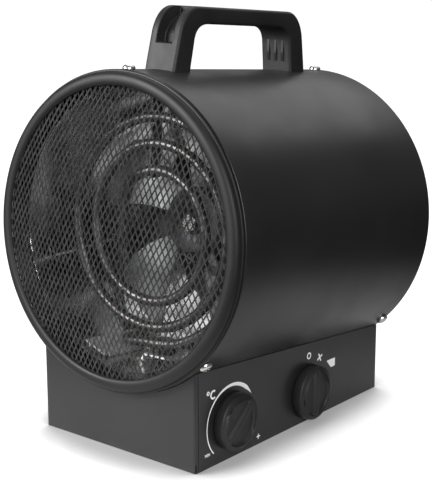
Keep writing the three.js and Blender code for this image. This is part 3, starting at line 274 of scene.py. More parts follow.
@dataclass(frozen=True)
class Finish:
    """One finish of the heater and how its surface changes over a piece."""

    name: str
    colour: Colour
    second: Colour
    rough: Pair
    metallic: float = 0.0
    mottle: float = 18.0
    grain: float = 1500.0
    relief: float = 0.00004
    wear: float = 0.0
    worn: Colour = (0.35, 0.35, 0.35)
    dust: float = 0.0
    spangle: float = 0.0
    stretch: Triple | None = None
    coat: float = 0.0
    coat_rough: float = 0.2
    specular: float = 0.5
    tint: Colour | None = None

    def material(self) -> bpy.types.Material:
        """Builds the material of this finish.

        Returns:
            The material, with its Principled shader fed by the shared effects.
        """
        made, n = new_material(self.name)
        where = n.add("ShaderNodeTexCoord").outputs["Object"]

        def effect(draw: Callable[..., Socket], **feeds: object) -> Socket:
            """Places a shared effect at the object's own coordinates."""
            return n.add("ShaderNodeGroup", {"Vector": where, **feeds}, node_tree=EFFECTS.tree(draw)).outputs[0]

        if self.spangle:
            pattern, scale, rough_scale = EFFECTS.zinc_spangle, self.spangle, self.spangle
        else:
            pattern, scale, rough_scale = EFFECTS.cloudy_mottle, self.mottle, self.mottle * ROUGH_SCALE
        tone = effect(pattern, Scale=scale, Low=0.0, High=1.0)
        rough = effect(pattern, Scale=rough_scale, Low=self.rough[0], High=self.rough[1])
        colour = n.mix(tone, (*self.colour, 1), (*self.second, 1))
        if self.tint:
            heat = effect(EFFECTS.cloudy_mottle, Scale=self.mottle * TINT_SCALE, Low=0.0, High=TINT_MOST)
            colour = n.mix(heat, colour, (*self.tint, 1))
        if self.wear:
            colour = n.mix(effect(EFFECTS.edge_wear, Amount=self.wear), colour, (*self.worn, 1))
        if self.dust:
            lying = effect(EFFECTS.settled_dust, Amount=self.dust)
            colour = n.mix(lying, colour, DUST_COLOUR)
            rough = n.math("ADD", rough, n.math("MULTIPLY", lying, DUST_ROUGH))
        if self.stretch:
            height = effect(EFFECTS.drawn_lines, Stretch=self.stretch)
        else:
            height = effect(EFFECTS.fine_grain, Scale=self.grain, Height=1.0)
        bump = n.add("ShaderNodeBump", {"Height": height, "Distance": self.relief, "Strength": 1.0})
        n.feed(made.node_tree.nodes["Principled BSDF"], {
            "Base Color": colour, "Roughness": rough, "Normal": bump.outputs[0], "Metallic": self.metallic,
            "Coat Weight": self.coat, "Coat Roughness": self.coat_rough, "Specular IOR Level": self.specular,
        })
        return made


FINISHES: dict[Slot, Finish] = {
    Slot.PAINT: Finish(
        "satin_black_coat", (0.0125, 0.0125, 0.013), (0.016, 0.016, 0.0165), (0.33, 0.4), mottle=14,
        grain=2600, relief=0.00003, wear=0.12, worn=(0.09, 0.09, 0.09), dust=0.02,
    ),
    Slot.MESH: Finish(
        "mesh_coat", (0.022, 0.022, 0.0225), (0.03, 0.03, 0.0305), (0.34, 0.44), mottle=60, grain=3000,
        relief=0.00003, wear=0.2, worn=(0.12, 0.12, 0.12), specular=0.4,
    ),
    Slot.PLASTIC: Finish(
        "grained_plastic", (0.0125, 0.0125, 0.0127), (0.017, 0.017, 0.0173), (0.46, 0.56), mottle=30,
        grain=3200, relief=0.00006, wear=0.1, worn=(0.05, 0.05, 0.05), dust=0.025, specular=0.36,
    ),
    Slot.GALVANISED: Finish(
        "zinc_coated_sheet", (0.66, 0.665, 0.67), (0.74, 0.745, 0.75), (0.45, 0.55), metallic=0.6, spangle=170,
        grain=900, relief=0.00003, dust=0.1,
    ),
    Slot.ELEMENT: Finish(
        "heat_darkened_tube", (0.1, 0.098, 0.096), (0.18, 0.176, 0.172), (0.3, 0.42), metallic=0.9, mottle=55,
        grain=1800, relief=0.00004, tint=(0.12, 0.11, 0.104),
    ),
    Slot.FAN: Finish(
        "pressed_fan_sheet", (0.5, 0.505, 0.51), (0.62, 0.625, 0.63), (0.4, 0.52), metallic=0.9, mottle=40,
        grain=1200, relief=0.00004, dust=0.2,
    ),
    Slot.MOTOR: Finish(
        "turned_motor_case", (0.05, 0.05, 0.052), (0.075, 0.075, 0.077), (0.35, 0.5), metallic=0.6,
        stretch=(60, 2400, 60), relief=0.00003, dust=0.1,
    ),
    Slot.CORE: Finish(
        "stacked_core_sheet", (0.16, 0.165, 0.17), (0.25, 0.255, 0.26), (0.4, 0.6), metallic=0.9,
        stretch=(30, 5200, 30), relief=0.0001, tint=(0.14, 0.1, 0.07),
    ),
    Slot.COPPER: Finish(
        "varnished_copper_wire", (0.5, 0.2, 0.09), (0.36, 0.13, 0.05), (0.25, 0.4), metallic=0.9,
        stretch=(40, 2600, 40), relief=0.00015, coat=0.5,
    ),
    Slot.BRONZE: Finish(
        "oiled_bearing_bronze", (0.42, 0.29, 0.13), (0.3, 0.2, 0.09), (0.3, 0.5), metallic=1.0, grain=2200,
    ),
    Slot.CERAMIC: Finish(
        "fired_steatite", (0.62, 0.59, 0.52), (0.7, 0.68, 0.62), (0.5, 0.65), mottle=240, grain=2600,
        relief=0.00005, tint=(0.5, 0.46, 0.4),
    ),
    Slot.RUBBER: Finish(
        "foot_rubber", (0.016, 0.016, 0.016), (0.024, 0.024, 0.024), (0.75, 0.9), grain=1400, relief=0.0001,
    ),
    Slot.DARK_PLASTIC: Finish(
        "pressed_resin", (0.018, 0.016, 0.015), (0.026, 0.023, 0.021), (0.3, 0.42), mottle=90, grain=1900,
        relief=0.00003,
    ),
    Slot.SCREW: Finish(
        "bright_zinc_plate", (0.62, 0.62, 0.62), (0.74, 0.74, 0.72), (0.2, 0.34), metallic=1.0, mottle=420,
        grain=2600, relief=0.00003, tint=(0.62, 0.6, 0.52),
    ),
}
RING_COAT = replace(
    FINISHES[Slot.PAINT], name="ring_black_coat", colour=(0.0115, 0.0115, 0.012), second=(0.015, 0.015, 0.0155),
    rough=(0.4, 0.48), specular=0.26,
)
BRIGHT_DUCT = Finish(
    "bright_duct_sheet", (0.6, 0.605, 0.61), (0.68, 0.685, 0.69), (0.13, 0.2), metallic=1.0, spangle=120, grain=700,
    relief=0.00003, dust=0.05,
)
INK = Finish(
    "screen_printed_ink", (0.93, 0.93, 0.92), (0.86, 0.86, 0.85), (0.45, 0.6), mottle=700, grain=4000, relief=0.00002
)
MATERIALS: dict[Slot, bpy.types.Material] = {slot: finish.material() for slot, finish in FINISHES.items()}


# ---------------------------------------------------------------- mesh work
class Draft:
    """Vertices and faces of one piece while it is drawn, in millimetres."""

    def __init__(self) -> None:
        """Starts empty."""
        self.verts: list[Triple] = []
        self.faces: list[Sequence[int]] = []

    def grid(self, rows: Sequence[Sequence[Triple]], close_rows: bool = False, close_columns: bool = False) -> "Draft":
        """Adds a surface through rows of points.

        Args:
            rows: Rows with the same number of points.
            close_rows: Whether the last row joins the first.
            close_columns: Whether each row's last point joins its first.

        Returns:
            The draft itself.
        """
        start, wide, high = len(self.verts), len(rows[0]), len(rows)
        for row in rows:
            self.verts.extend(row)
        for j in range(high if close_rows else high - 1):
            for i in range(wide if close_columns else wide - 1):
                a, b = start + j * wide + i, start + j * wide + (i + 1) % wide
                c, d = start + ((j + 1) % high) * wide + (i + 1) % wide, start + ((j + 1) % high) * wide + i
                self.faces.append((a, b, c, d))
        return self

    def lathe(self, profile: Sequence[Pair], segments: int) -> "Draft":
        """Adds a closed profile of (radius, v) points, which may end on the axis, turned about the v axis."""
        rows = [[(r * math.cos(a), v, r * math.sin(a)) for r, v in profile] for a in around(segments)]
        on_axis = profile[0][0] == 0 and profile[-1][0] == 0
        return self.grid(rows, close_rows=True, close_columns=not on_axis)

    def band(self, outer: Sequence[Pair], inner: Sequence[Pair], low: float, high: float, closed: bool) -> "Draft":
        """Adds what lies between two lines in x and y, made thick along z.

        Args:
            outer: One line.
            inner: The other, with as many points.
            low: Lower face.
            high: Upper face.
            closed: Whether each line's last point joins its first.

        Returns:
            The draft itself.
        """
        edges = ((outer, low), (outer, high), (inner, high), (inner, low))
        return self.grid([[(*p, z) for p in line] for line, z in edges], close_rows=True, close_columns=closed)

    def prism(self, outline: Sequence[Pair], low: float, high: float) -> "Draft":
        """Adds a flat outline in x and y made thick along z.

        Args:
            outline: The outline, in order.
            low: Lower face.
            high: Upper face.

        Returns:
            The draft itself.
        """
        start, count = len(self.verts), len(outline)
        self.verts.extend((x, y, low) for x, y in outline)
        self.verts.extend((x, y, high) for x, y in outline)
        self.faces.append(tuple(start + i for i in reversed(range(count))))
        self.faces.append(tuple(start + count + i for i in range(count)))
        for i in range(count):
            j = (i + 1) % count
            self.faces.append((start + i, start + j, start + count + j, start + count + i))
        return self

    def mesh(self, name: str, place: Matrix) -> bpy.types.Mesh:
        """Makes the mesh, in metres, with doubles merged and faces pointing out.

        Args:
            name: Name of the mesh.
            place: Change from the drawing to the part's frame.

        Returns:
            The mesh.
        """
        made = bpy.data.meshes.new(name)
        made.from_pydata([Vector(v) for v in self.verts], [], self.faces)
        tidy(made)
        made.transform(place)
        return made


def box(low_x: float, low_y: float, high_x: float, high_y: float) -> list[Pair]:
    """Returns the corners of a rectangle."""
    return [(low_x, low_y), (high_x, low_y), (high_x, high_y), (low_x, high_y)]


def around(count: int) -> list[float]:
    """Returns the angles of equal steps round a full turn."""
    return [2 * math.pi * i / count for i in range(count)]


@contextmanager
def editing(mesh: bpy.types.Mesh) -> Iterator[bmesh.types.BMesh]:
    """Opens a mesh for edits and writes them back."""
    work = bmesh.new()
    work.from_mesh(mesh)
    yield work
    work.to_mesh(mesh)
    work.free()


def round_off(work: bmesh.types.BMesh, edges: Sequence[bmesh.types.BMEdge], size: float, steps: int) -> None:
    """Rounds edges of a mesh in metres by a size in millimetres, and leaves its parts in the same order each run."""
    bmesh.ops.bevel(work, geom=edges, offset=size * MM, segments=steps, profile=0.5, affect="EDGES", clamp_overlap=True)
    work.verts.sort(key=lambda vertex: vertex.co.dot(SORT_ALONG))
    work.faces.sort(key=lambda face: face.calc_center_median().dot(SORT_ALONG))


def tidy(mesh: bpy.types.Mesh, distance: float = 1e-4) -> None:
    """Merges doubled points of a mesh and turns its faces outwards."""
    with editing(mesh) as work:
        bmesh.ops.remove_doubles(work, verts=work.verts, dist=distance)
        bmesh.ops.dissolve_degenerate(work, edges=work.edges, dist=distance)
        bmesh.ops.recalc_face_normals(work, faces=work.faces)


def in_scene(name: str, data: bpy.types.ID) -> bpy.types.Object:
    """Puts data into the scene as an object."""
    obj = bpy.data.objects.new(name, data)
    bpy.context.scene.collection.objects.link(obj)
    return obj


def plain_mesh(obj: bpy.types.Object) -> bpy.types.Mesh:
    """Returns the mesh that an object's curve or modifiers make, and removes the object."""
    bpy.context.view_layer.update()
    made = bpy.data.meshes.new_from_object(obj.evaluated_get(bpy.context.evaluated_depsgraph_get()))
    bpy.data.objects.remove(obj)
    return made


def add_piece(
    name: str,
    mesh: bpy.types.Mesh,
    slot: Slot,
    body: Body = Body.HEATER,
    replaces: Sequence[str] = (),
    smooth_deg: float = 38.0,
    material: bpy.types.Material | None = None,
) -> None:
    """Adds a finished mesh to the scene as a piece of the heater.

    Args:
        name: The piece's name.
        mesh: Its mesh, in the part's frame.
        slot: The record's slot that it takes its finish from.
        body: The CAD body that it rides on.
        replaces: CAD nodes that it stands for.
        smooth_deg: Angle under which its faces are shaded as one surface.
        material: A finish that isn't in a slot of the record.
    """
    obj = in_scene(name, mesh)
    mesh.materials.clear()
    mesh.materials.append(material or MATERIALS[slot])
    mesh.shade_smooth()
    mesh.set_sharp_from_angle(angle=math.radians(smooth_deg))
    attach(obj, body.value)
    if replaces:
        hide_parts(*replaces)
    LOG.info("%s: %d faces, for %s", name, len(mesh.polygons), ", ".join(replaces) or "no node")


def add_turned(
    name: str, profile: Sequence[Pair], segments: int, slot: Slot, replaces: Sequence[str] = (),
    body: Body = Body.HEATER, material: bpy.types.Material | None = None,
) -> None:
    """Adds a piece turned about the drum's axis.

    Args:
        name: The piece's name.
        profile: Its profile of (radius, v) points.
        segments: Steps round the axis.
        slot: The record's slot that it takes its finish from.
        replaces: CAD nodes that it stands for.
        body: The CAD body that it rides on.
        material: A finish that isn't in a slot of the record.
    """
    mesh = Draft().lathe(profile, segments).mesh(name, LEANING)
    add_piece(name, mesh, slot, body, replaces, material=material)


class Tree:
    """A Geometry Nodes tree with named inputs that ends in Realize Instances and Set Material."""

    def __init__(self, name: str) -> None:
        """Starts the tree with a geometry going in and one coming out."""
        self.tree = bpy.data.node_groups.new(name, "GeometryNodeTree")
        for way in ("INPUT", "OUTPUT"):
            self.tree.interface.new_socket("Geometry", in_out=way, socket_type="NodeSocketGeometry")
        self.nodes = Nodes(self.tree)
        self.enter = self.nodes.add("NodeGroupInput")
        self.leave = self.nodes.add("NodeGroupOutput")
        self._ids: dict[str, str] = {}

    def size(self, name: str, kind: str = "Float") -> Socket:
        """Adds a named input of a kind such as Float, Int or Object, and returns its socket inside the tree."""
        socket = self.tree.interface.new_socket(name, in_out="INPUT", socket_type=f"NodeSocket{kind}")
        self._ids[name] = socket.identifier
        return self.enter.outputs[name]

    def close(self, geometry: Socket, material: bpy.types.Material, merge: float = 0.0) -> None:
        """Ends the tree.

        Args:
            geometry: What the tree has made.
            material: The finish of the result.
            merge: Distance under which points are merged, or 0.
        """
        real = self.nodes.add("GeometryNodeRealizeInstances", {0: geometry}).outputs[0]
        if merge:
            real = self.nodes.add("GeometryNodeMergeByDistance", {"Geometry": real, "Distance": merge}).outputs[0]
        dressed = self.nodes.add("GeometryNodeSetMaterial", {"Geometry": real, "Material": material})
        self.nodes.feed(self.leave, {0: dressed.outputs[0]})

    def run(self, name: str, source: bpy.types.ID, sizes: dict[str, object]) -> bpy.types.Mesh:
        """Runs the tree on a mesh or curve.

        Args:
            name: Name of the mesh that it makes.
            source: The mesh or curve that goes in.
            sizes: Values of the named inputs.

        Returns:
            The plain mesh.
        """
        obj = in_scene(f"{name}_source", source)
        run = obj.modifiers.new(name, "NODES")
        run.node_group = self.tree
        for key, value in sizes.items():
            run[self._ids[key]] = value
        made = plain_mesh(obj)
        made.name = name
        return made


def smooth_path(points: Sequence[Vector], steps: int) -> list[Vector]:
    """A smooth path through points, with knots spaced by the root of their distance.

    Args:
        points: Points that the path goes through.
        steps: Points added in each stretch.

    Returns:
        The points of the path.
    """
    ends = [2 * points[0] - points[1], *points, 2 * points[-1] - points[-2]]
    path = []
    for p0, p1, p2, p3 in zip(ends, ends[1:], ends[2:], ends[3:]):
        t1 = max((p1 - p0).length ** 0.5, 1e-4)
        t2 = t1 + max((p2 - p1).length ** 0.5, 1e-4)
        t3 = t2 + max((p3 - p2).length ** 0.5, 1e-4)
        for i in range(steps):
            t = t1 + (t2 - t1) * i / steps
            a1, a2, a3 = blend(p0, p1, 0.0, t1, t), blend(p1, p2, t1, t2, t), blend(p2, p3, t2, t3, t)
            path.append(blend(blend(a1, a2, 0.0, t2, t), blend(a2, a3, t1, t3, t), t1, t2, t))
    path.append(points[-1].copy())
    return path


def blend(a: Vector, b: Vector, start: float, end: float, t: float) -> Vector:
    """Returns the place at t on the line that is at a at the start and at b at the end."""
    return a * ((end - t) / (end - start)) + b * ((t - start) / (end - start))


def arc(middle: Pair, radius: float, start_deg: float, end_deg: float, steps: int) -> list[Pair]:
    """Returns points on an arc about a middle, from one angle to another."""
    turn = [math.radians(start_deg + (end_deg - start_deg) * i / steps) for i in range(steps + 1)]
    return [(middle[0] + radius * math.cos(a), middle[1] + radius * math.sin(a)) for a in turn]


def bezier(p0: Pair, p1: Pair, p2: Pair, p3: Pair, steps: int) -> list[Pair]:
    """Points on a cubic curve from p0 to p3.

    Args:
        p0: First point.
        p1: Its handle.
        p2: Handle of the last point.
        p3: Last point.
        steps: Steps between the ends.

    Returns:
        The points.
    """
    out = []
    for i in range(steps + 1):
        t = i / steps
        w = ((1 - t) ** 3, 3 * t * (1 - t) ** 2, 3 * t * t * (1 - t), t**3)
        out.append(tuple(sum(k * p[axis] for k, p in zip(w, (p0, p1, p2, p3))) for axis in (0, 1)))
    return out


# ---------------------------------------------------------------- drum
@dataclass
class Drum:
    """The painted drum, its outlet ring, the ring that clamps the mesh, and the rear guard."""

    radius: float = 105.0
    wall: float = 1.0
    front: float = 1.2
    rear: float = 217.5
    rear_lip: float = 97.0
    edge: float = 1.6
    liner: float = 103.7
    guard_face: float = 216.2
    guard_bend: float = 3.2
    slot_rows: int = 4
    first_row: float = 17.0
    row_step: float = 18.0
    slots: int = 6
    slot_half: float = 5.25
    web_half: float = 2.5

    def build(self) -> None:
        """Builds the pieces of the drum."""
        self.shell()
        self.ring()
        clamp = [(97.0, -2.8), (101.9, -2.8), (102.1, -2.6), (102.1, -1.8), (97.0, -1.8)]
        add_turned("clamp_ring", clamp, 128, Slot.GALVANISED, ["mesh_clamp_ring"])
        self.guard()

    def shell(self) -> None:
        """The rolled drum with its rounded rear edge."""
        inner, e, nose = self.radius - self.wall, self.edge, 0.8
        profile = [(inner, self.front), *arc((self.radius - nose, self.front + nose), nose, -90, 0, 4)]
        profile += [(self.radius, v) for v in (30.0, 80.0, 130.0, 180.0)]
        profile += arc((self.radius - e, self.rear - e), e, 0, 90, 6)
        profile += [(self.rear_lip + 0.3, self.rear), (self.rear_lip, self.rear - 0.3)]
        profile += [(self.rear_lip, self.rear - self.wall), (inner, self.rear - self.wall)]
        add_turned("drum_skin", profile, 192, Slot.PAINT, ["drum_shell"])

    def ring(self) -> None:
        """The pressed outlet ring with its round bezel."""
        r, liner = self.radius, self.liner
        profile = [(liner, 10.0), (liner, -0.3), (r - 0.5, -0.3), *arc((r - 0.8, -1.1), 0.8, 90, -90, 8)]
        profile += [(r - 1.2, -2.0), (r - 1.35, -2.3)]
        profile += bezier((r - 1.35, -2.7), (r - 1.4, -5.0), (r - 3.6, -6.4), (r - 6.4, -6.4), 10)
        profile += bezier((r - 6.4, -6.4), (r - 8.4, -6.4), (r - 9.6, -6.0), (r - 10.1, -5.0), 5)
        profile += [(r - 10.1, -4.3), (r - 9.5, -4.1)]
        profile += bezier((r - 8.8, -5.0), (r - 6.6, -5.6), (r - 2.4, -5.2), (liner - 1, -1.6), 8)
        profile += [(liner - 1, 10.0)]
        add_turned("outlet_bezel", profile, 192, Slot.PAINT, ["outlet_ring"], material=RING_COAT.material())

    def guard(self) -> None:
        """The rear guard: a dished disc with rows of curved slots."""
        face, sheet, half, liner = self.guard_face, self.wall, self.slot_half, self.liner
        inner = liner - self.guard_bend
        outlines = [arc((0, 0), inner, 0, 360, 144)[:-1]]
        for row in range(self.slot_rows):
            r = self.radius - self.first_row - self.row_step * row
            span = 180 / self.slots - math.degrees((self.web_half + half) / r)
            steps = max(6, round(span * r / 90))
            for i in range(self.slots):
                mid = 360 / self.slots * (i + 0.5)
                slot = arc((0, 0), r + half, mid - span, mid + span, steps)
                slot += self.slot_end(r, mid + span, half, 1)
                slot += arc((0, 0), r - half, mid + span, mid - span, steps)
                slot += self.slot_end(r, mid - span, half, -1)
                outlines.append(slot)
        plate = stamped(outlines, sheet, 0.2)
        plate.transform(LEANING @ Matrix.Translation((0, face - sheet / 2, 0)) @ UPRIGHT)
        rim = [(liner, 205.0), *arc((liner - 2.4, face - 2.4), 2.4, 0, 90, 5), (inner, face)]
        rim += [(inner, face - sheet), *arc((liner - 2.6, face - 2.6), 1.6, 90, 0, 5), (liner - sheet, 205.0)]
        mesh = joined("rear_guard", [plate, Draft().lathe(rim, 144).mesh("guard_rim", LEANING)])
        add_piece("rear_guard", mesh, Slot.PAINT, replaces=["inlet_grille"])

    @staticmethod
    def slot_end(r: float, angle_deg: float, half: float, side: int) -> list[Pair]:
        """The round end of a curved slot.

        Args:
            r: Middle radius of the slot.
            angle_deg: Angle at which its straight part ends.
            half: Half its width.
            side: 1 for the end that comes later round the disc, -1 for the other.

        Returns:
            The points between the outer and the inner side.
        """
        a = math.radians(angle_deg)
        middle = (r * math.cos(a), r * math.sin(a))
        start, end = (angle_deg, angle_deg + 180) if side > 0 else (angle_deg - 180, angle_deg)
        return arc(middle, half, start, end, 8)[1:-1]


def poly_curve(name: str, lines: Sequence[Sequence[Triple]], dimensions: str, closed: bool) -> bpy.types.Curve:
    """A curve of straight stretches.

    Args:
        name: Its name.
        lines: The points of each of its lines.
        dimensions: "2D" for one that gets filled, or "3D".
        closed: Whether each line's last point joins its first.

    Returns:
        The curve.
    """
    curve = bpy.data.curves.new(name, "CURVE")
    curve.dimensions = dimensions
    for line in lines:
        spline = curve.splines.new("POLY")
        spline.points.add(len(line) - 1)
        for point, place in zip(spline.points, line):
            point.co = (*place, 1)
        spline.use_cyclic_u = closed
    return curve


def stamped(outlines: Sequence[Sequence[Pair]], thick: float, edge: float) -> bpy.types.Mesh:
    """A flat sheet with openings, as a press would cut it.

    Args:
        outlines: The outer outline, and those of the openings, in millimetres.
        thick: Thickness of the sheet.
        edge: Rounding of its edges.

    Returns:
        The mesh in millimetres, with its middle plane on z = 0.
    """
    curve = poly_curve("stamping", [[(*p, 0) for p in outline] for outline in outlines], "2D", closed=True)
    curve.fill_mode, curve.offset = "BOTH", -edge
    curve.extrude, curve.bevel_depth, curve.bevel_resolution = thick / 2 - edge, edge, 1
    mesh = plain_mesh(in_scene("stamping", curve))
    tidy(mesh, 1e-3)
    return mesh


def radial(radius: float, v: float, angle_deg: float) -> Vector:
    """Returns a place in the drum's frame, at a radius and an angle about its axis."""
    a = math.radians(angle_deg)
    return Vector((radius * math.cos(a), v, radius * math.sin(a)))


def joined(name: str, meshes: Sequence[bpy.types.Mesh]) -> bpy.types.Mesh:
    """Returns one mesh made of several, in their own places."""
    work = bmesh.new()
    for mesh in meshes:
        work.from_mesh(mesh)
    made = bpy.data.meshes.new(name)
    work.to_mesh(made)
    work.free()
    return made


@dataclass
class OutletMesh:
    """Expanded metal: staggered diamond cells whose strands meet in small bonds."""

    cell_w: float = 4.42
    cell_h: float = 8.15
    strand: float = 0.86
    bond_half: float = 0.28
    bond_wider: float = 1.2
    thick: float = 0.5
    tilt_deg: float = 24.0
    reach: float = 99.4
    spare: int = 3
    depth: float = -3.5
    dome: float = 9.0
    dome_r: float = 94.0
    turn_deg: float = -4.0
    rim: Pair = (98.2, 101.3)
    rim_half: float = 0.35

    def build(self) -> None:
        """Builds the mesh field and its cut rim."""
        tree = Tree("expanded_metal")
        n = tree.nodes
        wide, high, reach = tree.size("Cell Width"), tree.size("Cell Height"), tree.size("Reach")
        across, up = tree.size("Cells Across", "Int"), tree.size("Cells Up", "Int")
        position, half_high = n.add("GeometryNodeInputPosition").outputs[0], n.math("MULTIPLY", high, 0.5)
        span_x = n.math("MULTIPLY", wide, n.math("SUBTRACT", across, 1.0))
        span_y = n.math("MULTIPLY", half_high, n.math("SUBTRACT", up, 1.0))
        feeds = {"Size X": span_x, "Size Y": span_y, "Vertices X": across, "Vertices Y": up}
        field = n.add("GeometryNodeMeshGrid", feeds).outputs["Mesh"]
        place = n.add("ShaderNodeSeparateXYZ", {0: position})
        row = n.math("ROUND", n.math("DIVIDE", place.outputs["Y"], half_high))
        odd = n.math("ABSOLUTE", n.math("MODULO", row, 2.0))
        shift = n.add("ShaderNodeCombineXYZ", {0: n.math("MULTIPLY", n.math("MULTIPLY", odd, wide), 0.5)})
        moved = n.add("GeometryNodeSetPosition", {"Geometry": field, "Offset": shift.outputs[0]}).outputs[0]
        feeds = {0: n.length(position), 1: reach}
        outside = n.add("FunctionNodeCompare", feeds, data_type="FLOAT", operation="GREATER_THAN").outputs[0]
        kept = n.add("GeometryNodeDeleteGeometry", {"Geometry": moved, "Selection": outside}).outputs[0]
        bonds = n.add("GeometryNodeInstanceOnPoints", {"Points": kept, "Instance": tree.enter.outputs[0]}).outputs[0]
        spread = n.add("GeometryNodeRealizeInstances", {0: bonds}).outputs[0]
        share = n.math("DIVIDE", n.length(position), tree.size("Dome Radius"))
        rise = n.math("MAXIMUM", n.math("SUBTRACT", 1.0, n.math("MULTIPLY", share, share)), 0.0)
        lift = n.add("ShaderNodeCombineXYZ", {2: n.math("MULTIPLY", rise, tree.size("Dome"))})
        domed = n.add("GeometryNodeSetPosition", {"Geometry": spread, "Offset": lift.outputs[0]}).outputs[0]
        tree.close(domed, MATERIALS[Slot.MESH], merge=0.02)
        field_mesh = tree.run("mesh_field", self.bond(), {
            "Cell Width": self.cell_w, "Cell Height": self.cell_h, "Reach": self.reach,
            "Cells Across": 2 * math.ceil(self.reach / self.cell_w) + self.spare,
            "Cells Up": 2 * math.ceil(2 * self.reach / self.cell_h) + self.spare,
            "Dome": self.dome, "Dome Radius": self.dome_r,
        })
        turned = UPRIGHT @ Matrix.Rotation(math.radians(self.turn_deg), 4, "Z")
        field_mesh.transform(LEANING @ Matrix.Translation((0, self.depth, 0)) @ turned)
        (inner, outer), front, back = self.rim, self.depth - self.rim_half, self.depth + self.rim_half
        rim = Draft().lathe([(inner, front), (outer, front), (outer, back), (inner, back)], 128)
        mesh = joined("mesh_sheet", [field_mesh, rim.mesh("mesh_rim", LEANING)])
        add_piece("mesh_sheet", mesh, Slot.MESH, replaces=["outlet_mesh"], smooth_deg=25)

    def bond(self) -> bpy.types.Mesh:
        """One bond with the halves of its four strands.

        Returns:
            The open mesh, in millimetres, flat in x and y, with the drum's front towards +z.
        """
        draft = Draft()
        tilt = math.radians(self.tilt_deg)
        for side in (1, -1):
            end = Vector((side * self.cell_w / 4, self.cell_h / 4, 0))
            along = end.normalized()
            flat = Vector((-along.y, along.x, 0)) * side
            across = flat * math.cos(tilt) + Vector((0, 0, 1)) * math.sin(tilt)
            up = Vector((0, 0, 1)) * math.cos(tilt) - flat * math.sin(tilt)
            rows = []
            at, wider = self.bond_half, self.bond_wider
            for t, wide in ((-1, 1.0), (-at, wider), (at, wider), (1, 1.0)):
                half, rise = across * self.strand * wide / 2, up * self.thick / 2
                corners = (half + rise, -half + rise, -half - rise, half - rise)
                rows.append([tuple(end * t + corner) for corner in corners])
            draft.grid(rows, close_columns=True)
        mesh = bpy.data.meshes.new("bond")
        mesh.from_pydata(draft.verts, [], draft.faces)
        strands = [Vector((side * self.cell_w, self.cell_h, 0)).normalized() for side in (1, -1)]
        with editing(mesh) as work:
            for face in work.faces:
                middle = face.calc_center_median()
                along = max(strands, key=lambda d: abs(d.dot(middle)) - (middle - d * d.dot(middle)).length)
                if face.normal.dot(middle - along * along.dot(middle)) < 0:
                    face.normal_flip()
        return mesh


